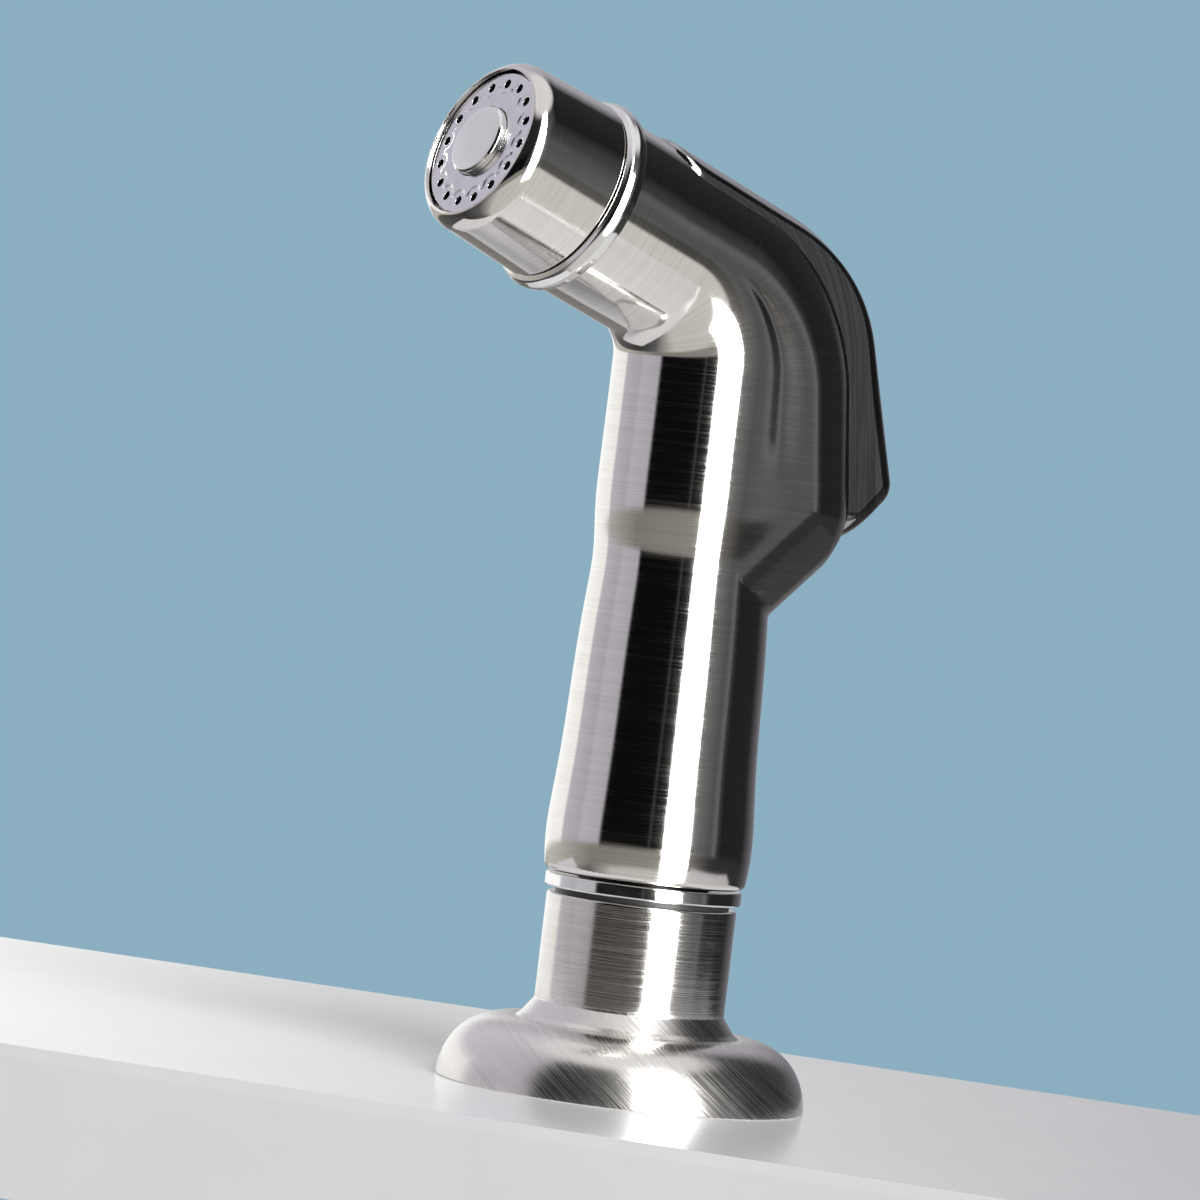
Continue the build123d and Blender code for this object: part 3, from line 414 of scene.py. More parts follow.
def contour(shape, low, high, step):
    """Closed quad mesh of a signed distance, and its normals.

    It has one vertex in each cell that the surface crosses, spread evenly and then put on the surface.
    The distance is taken coarsely first, and finely only in blocks near the surface.
    """
    block = 4
    low = np.array(low, float)
    size = np.ceil((np.array(high) - low) / step / block).astype(int)
    coarse_axes = [low[k] + (np.arange(size[k]) + 0.5) * step * block for k in range(3)]
    coarse = shape(*np.meshgrid(*coarse_axes, indexing="ij"))
    near = np.abs(coarse) < step * block * 1.3  # a block's half diagonal is 0.87 of its side
    grid = np.repeat(np.repeat(np.repeat(coarse, block, 0), block, 1), block, 2).astype(np.float32)
    mask = np.repeat(np.repeat(np.repeat(near, block, 0), block, 1), block, 2)
    index = np.argwhere(mask)
    points = low + (index + 0.5) * step
    grid[mask] = shape(points[:, 0], points[:, 1], points[:, 2])
    solid = grid < 0
    count = np.zeros([n - 1 for n in solid.shape], np.int8)
    for i in (0, 1):
        for j in (0, 1):
            for k in (0, 1):
                nx, ny, nz = count.shape
                count += solid[i : i + nx, j : j + ny, k : k + nz]
    crossed = (count > 0) & (count < 8)
    number = np.full(crossed.shape, -1, np.int64)
    number[crossed] = np.arange(crossed.sum())
    verts = low + (np.argwhere(crossed) + 1.0) * step
    quads = []
    for axis in range(3):
        a = np.moveaxis(solid, axis, 0)
        ids = np.moveaxis(number, axis, 0)
        rising = a[:-1, 1:-1, 1:-1] != a[1:, 1:-1, 1:-1]
        where = np.argwhere(rising)
        leaving = a[:-1, 1:-1, 1:-1][rising]
        i, j, k = where[:, 0], where[:, 1], where[:, 2]
        round_edge = (ids[i, j, k], ids[i, j + 1, k], ids[i, j + 1, k + 1], ids[i, j, k + 1])
        ring = np.stack(round_edge, axis=1)
        # moving an axis to the front keeps the handedness for x and z, and turns it for y
        flip = leaving if axis == 1 else ~leaving
        ring[flip] = ring[flip][:, ::-1]
        quads.append(ring)
    quads = np.concatenate(quads)
    for turn in range(4):
        for _ in range(3 if turn == 0 else 2):
            verts = settled(shape, verts, step)
        if turn < 3:
            verts = evened(verts, quads)
    return verts, quads, slopes(shape, verts)


def slopes(shape, v, d=0.02):
    """Unit outward directions, from four evaluations."""
    total = np.zeros_like(v)
    for k in ((1, 1, 1), (1, -1, -1), (-1, 1, -1), (-1, -1, 1)):
        k = np.array(k, float)
        total += k * shape(v[:, 0] + d * k[0], v[:, 1] + d * k[1], v[:, 2] + d * k[2])[:, None]
    return total / np.maximum(np.linalg.norm(total, axis=1, keepdims=True), 1e-12)


def settled(shape, v, step):
    """Moves each vertex on to the surface, by one cell at most."""
    value = shape(v[:, 0], v[:, 1], v[:, 2])[:, None]
    return v - slopes(shape, v) * np.clip(value, -step, step)


def evened(v, quads):
    """Moves each vertex half way to the average of its neighbours."""
    total, count = np.zeros_like(v), np.zeros(len(v))
    for a, b in ((0, 1), (1, 2), (2, 3), (3, 0)):
        for p, q in ((quads[:, a], quads[:, b]), (quads[:, b], quads[:, a])):
            for k in range(3):
                total[:, k] += np.bincount(p, v[q, k], len(v))
            count += np.bincount(p, minlength=len(v))
    return v * 0.5 + total / np.maximum(count, 1)[:, None] * 0.5


def to_mesh(name, verts, faces, normals, grain):
    """A Blender object from millimetre vertices, with shading normals and the brushing coordinates."""
    mesh = bpy.data.meshes.new(name)
    mesh.from_pydata((np.asarray(verts) * MM).tolist(), [], [list(map(int, f)) for f in faces])
    mesh.update()
    mesh.polygons.foreach_set("use_smooth", np.ones(len(mesh.polygons), bool))
    attribute = mesh.attributes.new("grain", "FLOAT_VECTOR", "POINT")
    attribute.data.foreach_set("vector", np.asarray(grain, np.float32).ravel())
    if normals is not None:
        mesh.normals_split_custom_set_from_vertices(np.asarray(normals).tolist())
    piece = bpy.data.objects.new(name, mesh)
    bpy.context.scene.collection.objects.link(piece)
    return piece


def rounded(corners, steps):
    """Points and normals of a closed outline, counterclockwise, from (radius, height, rounding) corners."""
    points, normals = [], []
    count = len(corners)
    xy = [np.array(c[:2], float) for c in corners]
    for i in range(count):
        p, a, b = xy[i], xy[i - 1], xy[(i + 1) % count]
        radius = corners[i][2]
        into, out = (p - a) / np.linalg.norm(p - a), (b - p) / np.linalg.norm(b - p)
        n_in, n_out = np.array([into[1], -into[0]]), np.array([out[1], -out[0]])
        if radius == 0:
            n = n_in + n_out
            points.append(p)
            normals.append(n / np.linalg.norm(n))
            continue
        turn = atan2(into[0] * out[1] - into[1] * out[0], into @ out)
        reach = abs(radius * tan(turn / 2))
        start = p - into * reach
        side = 1 if turn > 0 else -1
        centre = start - n_in * radius * side
        for k in range(steps + 1):
            angle = turn * k / steps
            ca, sa = cos(angle), sin(angle)
            n = np.array([n_in[0] * ca - n_in[1] * sa, n_in[0] * sa + n_in[1] * ca])
            points.append(centre + n * radius * side)
            normals.append(n)
    return np.array(points), np.array(normals)


TURN_SEGMENTS = 256
FLANGE_LINES = np.array([0.50, 0.71, 1.06])  # across the flange's straight brush lines


def lathe(name, outline, about_head=False, steps=6, flat_below=None):
    """Turns an outline about Z, or about the head's axis, where heights are distances in front of the face.

    Below the height flat_below the brush lines run straight, and above it round the axis.
    """
    segments = TURN_SEGMENTS
    points, normals = rounded(outline, steps)
    on_axis = points[:, 0] < 1e-9
    normals[on_axis] = np.stack([np.zeros(on_axis.sum()), np.sign(normals[on_axis, 1])], axis=1)
    angle = np.arange(segments) * 2 * pi / segments
    ca, sa = np.cos(angle)[:, None], np.sin(angle)[:, None]
    r, h = points[:, 0][None, :], points[:, 1][None, :]
    nr, nh = normals[:, 0][None, :], normals[:, 1][None, :]
    count = len(points)
    every = (segments, count)
    local = np.stack([r * ca, r * sa, np.broadcast_to(h, every)], axis=2).reshape(-1, 3)
    local_n = np.stack([nr * ca, nr * sa, np.broadcast_to(nh, every)], axis=2).reshape(-1, 3)
    i = np.arange(segments)[:, None]
    j = np.arange(count)[None, :]
    next_i, next_j = (i + 1) % segments, (j + 1) % count
    a, b = i * count + j, i * count + next_j
    c, d = next_i * count + next_j, next_i * count + j
    quads = np.stack([a, d, c, b], axis=2).reshape(-1, 4)
    grain = local.copy()
    if flat_below is not None:
        straight = local[:, 2] < flat_below
        grain[straight, 2] = local[straight] @ FLANGE_LINES
    if about_head:
        basis = np.stack([np.array([1.0, 0, 0]), ABOVE, SPRAY])
        verts, normals3 = FACE + local @ basis, local_n @ basis
    else:
        verts, normals3 = local, local_n
    faces, remap = drop_axis(verts, quads, np.tile(on_axis, segments))
    return to_mesh(name, verts[remap], faces, normals3[remap], grain[remap])


def drop_axis(verts, quads, on_axis):
    """Where an outline touches the axis, its points become one, and faces along the axis go."""
    keep = np.arange(len(verts))
    if on_axis.any():
        where = np.flatnonzero(on_axis)
        key = np.round(verts[where], 6)
        _, first, back = np.unique(key, axis=0, return_index=True, return_inverse=True)
        keep[where] = where[first][back.reshape(-1)]
    faces = []
    for quad in keep[quads]:
        face = []
        for v in quad:
            if v not in face:
                face.append(int(v))
        if len(face) >= 3:
            faces.append(face)
    used = np.unique(np.concatenate([np.array(f) for f in faces]))
    new = np.full(len(verts), -1)
    new[used] = np.arange(len(used))
    return [[int(new[v]) for v in f] for f in faces], used


def stand_for(piece, body, slot, material, *nodes):
    """Puts a visible piece on its body, in place of CAD nodes."""
    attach(piece, body)
    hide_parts(*nodes)
    piece.data.materials.append(material)
    return piece


# ---- finishes ----


class Nodes:
    """A material's node tree, with the few steps that the finishes share."""

    def __init__(self, name):
        self.material = bpy.data.materials.new(name)
        self.material.use_nodes = True
        self.tree = self.material.node_tree
        self.shader = self.tree.nodes["Principled BSDF"]

    def add(self, kind, **values):
        node = self.tree.nodes.new(kind)
        for key, value in values.items():
            setattr(node, key, value)
        return node

    def link(self, source, target):
        self.tree.links.new(source, target)

    def put(self, name, value):
        self.shader.inputs[name].default_value = value

    def coordinates(self, attribute, scale):
        """Object coordinates, or a mesh attribute's, times a scale per metre or millimetre."""
        stretch = self.add("ShaderNodeVectorMath", operation="MULTIPLY")
        stretch.inputs[1].default_value = scale
        if attribute:
            source = self.add("ShaderNodeAttribute", attribute_name=attribute).outputs["Vector"]
        else:
            source = self.add("ShaderNodeTexCoord").outputs["Object"]
        self.link(source, stretch.inputs[0])
        return stretch.outputs[0]

    def noise(self, vector, scale, detail=2.0, roughness=0.5):
        node = self.add("ShaderNodeTexNoise")
        node.inputs["Scale"].default_value = scale
        node.inputs["Detail"].default_value = detail
        node.inputs["Roughness"].default_value = roughness
        self.link(vector, node.inputs["Vector"])
        return node.outputs["Fac"]

    def range(self, source, low, high, to_low, to_high):
        node = self.add("ShaderNodeMapRange")
        for i, value in enumerate((low, high, to_low, to_high)):
            node.inputs[i + 1].default_value = value
        self.link(source, node.inputs[0])
        return node.outputs[0]

    def mix_colour(self, factor, a, b):
        node = self.add("ShaderNodeMix", data_type="RGBA")
        node.inputs[6].default_value = (*a, 1)
        node.inputs[7].default_value = (*b, 1)
        self.link(factor, node.inputs[0])
        return node.outputs[2]

    def sum(self, a, b, share):
        """Shares of 1 - share of a and share of b."""
        node = self.add("ShaderNodeMix", data_type="FLOAT")
        node.inputs[0].default_value = share
        self.link(a, node.inputs[2])
        self.link(b, node.inputs[3])
        return node.outputs[0]

    def colour(self, factor, low, high, dark, light):
        """The base colour, from dark at low to light at high."""
        mixed = self.mix_colour(self.range(factor, low, high, 0, 1), dark, light)
        self.link(mixed, self.shader.inputs["Base Color"])

    def roughness(self, factor, low, high, at_low, at_high):
        self.link(self.range(factor, low, high, at_low, at_high), self.shader.inputs["Roughness"])

    def bump(self, height, depth):
        """Relief of this depth in metres."""
        node = self.add("ShaderNodeBump")
        node.inputs["Distance"].default_value = depth
        self.link(height, node.inputs["Height"])
        self.link(node.outputs[0], self.shader.inputs["Normal"])


SATIN = 0.09  # what the flange's straight brushing adds to its roughness
SATIN_EDGE = 0.0003


LINES, BANDS = (0.06, 0.06, 9.0), (0.04, 0.04, 1.6)  # per millimetre of the grain


def brushed(name, dark, light, rough, depth, fine=LINES, broad=BANDS, satin_below=None):
    """Nickel with lines round the grain's axis, a fine set and broader bands; rougher below a height."""
    n = Nodes(name)
    lines = n.noise(n.coordinates("grain", fine), 1.0, 3.0, 0.65)
    bands = n.noise(n.coordinates("grain", broad), 1.0, 2.0)
    both = n.sum(lines, bands, 0.3)
    n.colour(both, 0.3, 0.7, dark, light)
    roughness = n.range(lines, 0.40, 0.64, rough[0], rough[1])
    if satin_below:
        split = n.add("ShaderNodeSeparateXYZ")
        n.link(n.coordinates(None, (1, 1, 1)), split.inputs[0])
        more = n.add("ShaderNodeMath", operation="ADD")
        n.link(roughness, more.inputs[0])
        n.link(n.range(split.outputs[2], satin_below, satin_below + SATIN_EDGE, SATIN, 0.0), more.inputs[1])
        roughness = more.outputs[0]
    n.link(roughness, n.shader.inputs["Roughness"])
    n.put("Metallic", 1.0)
    n.bump(lines, depth)
    return n.material


def polished(name, colour, rough):
    """Bright metal, faintly smeared."""
    n = Nodes(name)
    smear = n.noise(n.coordinates("grain", (0.3, 0.3, 0.9)), 1.0, 4.0, 0.6)
    n.colour(smear, 0.35, 0.65, [c * 0.94 for c in colour], colour)
    n.roughness(smear, 0.3, 0.7, rough * 1.7, rough)
    n.put("Metallic", 1.0)
    return n.material


def turned(name, dark, light, rough):
    """Machined metal of the hidden pieces, with tool marks."""
    n = Nodes(name)
    marks = n.noise(n.coordinates(None, (300, 300, 5000)), 1.0, 2.0)
    n.colour(marks, 0.35, 0.65, dark, light)
    n.roughness(marks, 0.3, 0.7, rough, rough + 0.15)
    n.put("Metallic", 1.0)
    n.bump(marks, 0.000008)
    return n.material


def moulded(name, dark, light, rough):
    """Plastic or rubber with a fine even texture."""
    n = Nodes(name)
    texture = n.noise(n.coordinates(None, (1, 1, 1)), 2500.0, 2.0)
    clouds = n.noise(n.coordinates(None, (1, 1, 1)), 90.0, 3.0)
    n.colour(clouds, 0.3, 0.7, dark, light)
    n.roughness(texture, 0.3, 0.7, rough, rough + 0.1)
    n.put("Specular IOR Level", 0.5)
    n.bump(texture, 0.000006)
    return n.material


NICKEL_DARK, NICKEL_LIGHT = (0.66, 0.642, 0.615), (0.84, 0.818, 0.785)
nickel = brushed("brushed_nickel", NICKEL_DARK, NICKEL_LIGHT, (0.045, 0.115), 0.0000015)
holder_nickel = brushed(
    "holder_nickel", NICKEL_DARK, NICKEL_LIGHT, (0.08, 0.21), 0.000005, satin_below=0.012
)
# the lever is the same nickel as the body; its darker base colours are painted shade, standing for the dark
# room it reflects
lever_nickel = brushed(
    "lever_nickel",
    (0.26, 0.26, 0.27),
    (0.56, 0.555, 0.55),
    (0.05, 0.14),
    0.0000015,
    fine=(0.10, 5.0, 0.10),
    broad=(0.03, 0.9, 0.03),
)
bright = polished("polished_nickel", (0.86, 0.85, 0.83), 0.06)
brass = turned("brass", (0.60, 0.42, 0.16), (0.78, 0.58, 0.27), 0.22)
steel = turned("steel", (0.50, 0.50, 0.50), (0.66, 0.66, 0.65), 0.20)
threads = turned("shank_brass", (0.55, 0.39, 0.16), (0.74, 0.55, 0.27), 0.28)
rubber = moulded("rubber", (0.012, 0.012, 0.013), (0.03, 0.03, 0.032), 0.55)
white_plastic = moulded("white_plastic", (0.74, 0.74, 0.72), (0.82, 0.82, 0.80), 0.35)
black_plastic = moulded("black_plastic", (0.014, 0.014, 0.015), (0.028, 0.028, 0.03), 0.34)


def face_finish():
    """Satin plating over the moulded face; its slight violet tint is a painted reflection of the room's
    violet light.
    """
    n = Nodes("face_plastic")
    clouds = n.noise(n.coordinates("grain", (0.35, 0.35, 0.35)), 1.0, 3.0)
    texture = n.noise(n.coordinates("grain", (9, 9, 9)), 1.0, 2.0)
    # the violet in these colours is painted reflection, over the plating's grey
    n.colour(clouds, 0.3, 0.7, (0.68, 0.67, 0.70), (0.76, 0.75, 0.775))
    n.roughness(texture, 0.3, 0.7, 0.13, 0.2)
    n.put("Metallic", 1.0)
    return n.material


face_metal = face_finish()

# ---- holder, fixed to the deck ----

FLANGE_R = box_mm("holder")[1][0] - 0.01
SHOULDER_R, SHOULDER_H = 16.2, 9.08
DOME_CENTRE_H = -1.0
DOME_POWER = 2.2
NECK_R, NECK_FOOT_H, NECK_TOP_H = 13.07, 12.15, 26.47
MOUTH_R, SEAT_R, SEAT_TOP_H = 11.0, 13.0, 8.5
GASKET_R, GASKET_OUTER_R, GASKET_H = 16.2, 22.4, 3.0  # groove of the deck gasket
UNDERSIDE_H = 0.8


def dome_radius(h):
    """The flange's side: a superellipse about a centre below the deck, so it leans in from the bottom."""

    def share(height):
        reach = (height - DOME_CENTRE_H) / (SHOULDER_H - DOME_CENTRE_H)
        return (1 - reach**DOME_POWER) ** (1 / DOME_POWER)

    return SHOULDER_R + (FLANGE_R - SHOULDER_R) * share(h) / share(0.0)


flange = [(GASKET_OUTER_R, GASKET_H, 0.1), (GASKET_OUTER_R, 0.0, 0.1), (FLANGE_R, 0.0, 0.1)]
flange += [(dome_radius(h), h, 0) for h in SHOULDER_H * np.sin(np.linspace(0.1, pi / 2, 16))]
flange += [
    (15.35, 9.0, 0.35),
    (14.62, 9.62, 0.35),
    (NECK_R, 11.7, 0.5),
    (NECK_R, NECK_FOOT_H + 0.05, 0),
    (NECK_R, NECK_TOP_H, 0.45),
    (MOUTH_R, NECK_TOP_H, 0.15),
    (MOUTH_R, SEAT_TOP_H, 0.1),
    (SEAT_R, SEAT_TOP_H, 0.1),
    (SEAT_R, UNDERSIDE_H, 0.1),
    (GASKET_R, UNDERSIDE_H, 0.1),
    (GASKET_R, GASKET_H, 0.1),
]
casting = lathe("holder_casting", flange, steps=8, flat_below=NECK_FOOT_H)
stand_for(casting, "holder", "brushed_nickel", holder_nickel, "holder")


def helix_piece(name, root_r, crest_r, inner_r, bottom, top, pitch):
    """A tube whose outside is a screw thread that runs out at both ends."""
    segments, plain = 120, 6.0
    rows = int((top - bottom) / pitch * 12)
    verts, faces = [], []
    heights = np.linspace(bottom, top, rows + 1)
    angle = np.arange(segments) * 2 * pi / segments
    for h in heights:
        phase = (h / pitch - angle / (2 * pi)) % 1.0
        tooth = np.clip(1.25 - np.abs(phase - 0.5) * 4.0, 0.0, 1.0)
        run_out = min(1.0, (h - bottom) / pitch, max(0.0, (top - plain - h) / pitch + 1))
        r = root_r + (crest_r - root_r) * (tooth * max(run_out, 0.0) if h < top - plain else 1.0)
        verts += [(ri * cos(a), ri * sin(a), h) for ri, a in zip(np.broadcast_to(r, segments), angle)]
    for h in (top, bottom):
        verts += [(inner_r * cos(a), inner_r * sin(a), h) for a in angle]
    rings = rows + 3
    for i in range(rings):
        j = (i + 1) % rings
        for k in range(segments):
            m = (k + 1) % segments
            faces.append((i * segments + k, i * segments + m, j * segments + m, j * segments + k))
    piece = to_mesh(name, verts, faces, None, verts)
    piece.data.polygons.foreach_set("use_smooth", np.zeros(len(piece.data.polygons), bool))
    return piece


shank_bottom, shank_top = (corner[2] for corner in box_mm("mounting_shank"))
shank = helix_piece("shank_thread", 12.15, 13.0, 10.4, shank_bottom, shank_top, pitch=1.5)
stand_for(shank, "holder", "brass", threads, "mounting_shank")

# ---- ring between holder and handle, on the hose end ----

ring_bottom, ring_top = (corner[2] for corner in box_mm("swivel_ring"))
ring = [(8.9, ring_bottom, 0.1), (13.5, ring_bottom, 0.3), (13.5, ring_top, 0.3), (8.9, ring_top, 0.1)]
stand_for(lathe("swivel_band", ring, steps=8), "hose_end", "polished_nickel", bright, "swivel_ring")

# ---- sprayer ----

STEP = 0.4
body_low, body_high = box_mm("handle_body")
verts, faces, normals = contour(handle_shape, body_low - 1.0, body_high + 1.0, STEP)
along, out = front_spine(verts[:, 1], verts[:, 2])
body = to_mesh("handle_casting", verts, faces, normals, np.stack([verts[:, 0], out, along], axis=1))
stand_for(body, "sprayer", "brushed_nickel", nickel, "handle_body")

lever_low, lever_high = box_mm("lever")
verts, faces, normals = contour(lever_shape, lever_low - 1.0, lever_high + 1.0, STEP * 0.75)
along, out = front_spine(verts[:, 1], verts[:, 2])
across = verts[:, 0] * 0.8 + out * 0.8 + along * 0.12  # the lever is brushed lengthwise
lever = to_mesh("thumb_lever", verts, faces, normals, np.stack([out, across, along], axis=1))
stand_for(lever, "lever", "lever_nickel", lever_nickel, "lever")

bead = [
    (10.45, -RING_BACK_S, 0.1),
    (13.0, -RING_BACK_S, 0.15),
    (13.55, -RING_BACK_S + 0.55, 0.5),
    (13.9, -16.1, 1.2),
    (13.5, -RING_FRONT_S - 0.45, 0.8),
    (12.7, -RING_FRONT_S, 0.25),
    (10.45, -RING_FRONT_S, 0.1),
]
stand_for(lathe("collar_bead", bead, True, steps=10), "sprayer", "polished_nickel", bright, "collar_ring")

SHELL_EDGE = (8.99, -2.2, 3.354)  # centre and radius of the shell's rounded front
shell_back = -RING_FRONT_S + 0.3
shell = [(10.45, shell_back, 0.1), (12.87, shell_back, 0.3)]
for a in np.linspace(-0.06, 0.987, 14):
    shell.append((SHELL_EDGE[0] + SHELL_EDGE[2] * cos(a), SHELL_EDGE[1] + SHELL_EDGE[2] * sin(a), 0))
shell += [
    (10.60, 0.6, 0.05),
    (10.56, 0.2, 0.1),
    (10.56, -2.6, 0.1),
    (9.35, -2.6, 0.05),
    (9.35, -3.6, 0.05),
    (10.45, -3.6, 0.1),
]
shell_piece = lathe("spray_shell", shell, True, steps=12)
stand_for(shell_piece, "sprayer", "brushed_nickel", nickel, "nozzle_shell")

HOLES = 16
HOLE_CIRCLE, HOLE_R = 8.64, 0.65
PLATE_R, PLATE_FRONT_H, PLATE_BACK_H = 10.3, -0.05, -2.6
BOSS_R, BOSS_HEIGHT, BOSS_EDGE = 8.15, 0.2, 0.24
SCALLOP_R = 1.45  # the boss keeps this clear of each hole
HUB_R, HUB_BACK_H = 4.5, -3.2
POCKET_R, POCKET_H = 5.06, -0.95  # for the button
SCREW_HOLE_R = 2.1
THROUGH_H = -4


def plate_shape(x, y, z):
    """The face plate: pierced ring, raised scalloped boss inside the holes, pocket for the button."""
    h = -head_s(y, z)
    q = head_q(y, z)
    radius = np.hypot(x, q)
    angle = np.arctan2(x, q)
    sector = 2 * pi / HOLES
    local = (angle + sector / 2) % sector - sector / 2
    to_hole = np.hypot(radius * np.cos(local) - HOLE_CIRCLE, radius * np.sin(local))
    in_boss = np.maximum(radius - BOSS_R, SCALLOP_R - to_hole)
    front = PLATE_FRONT_H + ease(BOSS_EDGE, -BOSS_EDGE, in_boss) * BOSS_HEIGHT
    plate = round_max(radius - PLATE_R, h - front, 0.15)
    plate = np.maximum(plate, PLATE_BACK_H - h)
    plate = np.minimum(plate, all_of(radius - HUB_R, h + 0.5, HUB_BACK_H - h))
    plate = round_max(plate, -np.maximum(to_hole - HOLE_R, THROUGH_H - h), 0.08)
    plate = np.maximum(plate, -np.maximum(radius - POCKET_R, POCKET_H - h))
    return np.maximum(plate, -np.maximum(radius - SCREW_HOLE_R, THROUGH_H - h))


plate_low, plate_high = box_mm("spray_face")
plate_step = 0.11
verts, faces, normals = contour(plate_shape, plate_low - 0.5, plate_high + 0.5, plate_step)
x, y, z = verts.T
grain = np.stack([x, head_q(y, z), -head_s(y, z)], axis=1)
plate = to_mesh("spray_plate", verts, faces, normals, grain)
stand_for(plate, "sprayer", "face_plastic", face_metal, "spray_face")

BUTTON_R, CAP_R, CAP_EDGE_H, CAP_TOP_H = 4.98, 4.66, 1.24, 1.39
button = [(0.0, POCKET_H, 0), (BUTTON_R, POCKET_H, 0.1), (BUTTON_R, 0.92, 0.2), (CAP_R, CAP_EDGE_H, 0.2)]
for r in (4.0, 3.2, 2.4, 1.6, 0.8, 0.0):
    button.append((r, CAP_TOP_H - (CAP_TOP_H - CAP_EDGE_H) * (r / CAP_R) ** 2, 0))
stand_for(lathe("button_cap", button, True, steps=10), "sprayer", "polished_nickel", bright, "centre_button")

# ---- finishes of the CAD nodes that stay ----

FINISHES = {
    "brass": brass,
    "steel": steel,
    "rubber": rubber,
    "white_plastic": white_plastic,
    "black_plastic": black_plastic,
    "brushed_nickel": nickel,
    "polished_nickel": bright,
    "lever_nickel": lever_nickel,
    "face_plastic": face_metal,
}
for entry in frame["record"]["subparts"]:
    node = frame["nodes"][entry["node"]]
    for slot in node.material_slots:
        slot.material = FINISHES[entry["material_slot"]]

# ---- worktop, light and camera ----

DECK_FRONT, DECK_BACK = 60.5, 97.5  # from the holder's axis to the edges
DECK_HALF_LENGTH = 170.0
DECK_TURN = radians(35.5)
DECK_THICKNESS = 20.0
DECK_EDGE = 1.5
DECK_HOLE_R = 14.5
DECK_RING_R = 45.0  # a ring of vertices between the hole and the edges


def stone(name, dark, light):
    """Polished pale quartz."""
    n = Nodes(name)
    cloud = n.noise(n.coordinates(None, (1, 1, 1)), 22.0, 5.0, 0.6)
    n.colour(cloud, 0.35, 0.65, dark, light)
    n.put("Roughness", 0.14)
    n.put("Specular IOR Level", 0.55)
    return n.material


def worktop():
    """A pale stone top with the shank's hole; its sides get a darker copy of the stone, painted shade."""
    corners = [(DECK_HALF_LENGTH, DECK_BACK), (-DECK_HALF_LENGTH, DECK_BACK)]
    corners += [(-DECK_HALF_LENGTH, -DECK_FRONT), (DECK_HALF_LENGTH, -DECK_FRONT)]
    to_corners = [atan2(v, u) % (2 * pi) for u, v in corners]
    angles = np.sort(np.append(np.arange(96) * 2 * pi / 96 + 0.001, to_corners))
    ca, sa = np.cos(angles), np.sin(angles)
    to_side = DECK_HALF_LENGTH / np.abs(ca)
    to_edge = np.where(sa > 0, DECK_BACK, DECK_FRONT) / np.abs(sa)
    reach = np.minimum(to_side, to_edge)
    inset = 1 - DECK_EDGE / DECK_FRONT
    rings = [(DECK_HOLE_R, 0.0), (DECK_HOLE_R + 0.6, 0.0), (DECK_RING_R, 0.0)]
    rings += [(reach * inset, 0.0), (reach, -DECK_EDGE), (reach, -DECK_THICKNESS)]
    rings += [(DECK_RING_R, -DECK_THICKNESS), (DECK_HOLE_R, -DECK_THICKNESS)]
    turn_c, turn_s = cos(DECK_TURN), sin(DECK_TURN)
    verts, faces = [], []
    for r, h in rings:
        u, v = r * ca, r * sa
        verts += list(zip(u * turn_c - v * turn_s, u * turn_s + v * turn_c, np.full(len(u), h)))
    count, segments = len(rings), len(angles)
    for i in range(count):
        j = (i + 1) % count
        for k in range(segments):
            m = (k + 1) % segments
            faces.append((i * segments + k, j * segments + k, j * segments + m, i * segments + m))
    piece = to_mesh("worktop", verts, faces, None, verts)
    piece.data.polygons.foreach_set("use_smooth", np.zeros(len(piece.data.polygons), bool))
    piece.data.materials.append(stone("pale_quartz", (0.66, 0.66, 0.668), (0.69, 0.69, 0.695)))
    # the second stone is the same quartz made darker, painted shade for the sides that are not level
    piece.data.materials.append(stone("pale_quartz_painted_shade", (0.36, 0.36, 0.367), (0.385, 0.385, 0.39)))
    for face in piece.data.polygons:
        face.material_index = int(abs(face.normal.z) < 0.9)


worktop()


PLAIN = (1.0, 1.0, 1.0)
VIOLET = (0.98, 0.95, 1.06)
WARM = (1.04, 1.0, 0.93)
CREAM = (1.02, 1.0, 0.96)
COOL = (0.96, 0.99, 1.05)
KEY_LIGHT = 13.0
KEY_AZIMUTH, KEY_SIDE_SOFT = (-20.0, 12.0), 2.5
KEY_HEIGHT, KEY_END_SOFT = (-30.0, 62.0), 8.0
WALL = (0.26, 0.43, 0.53)


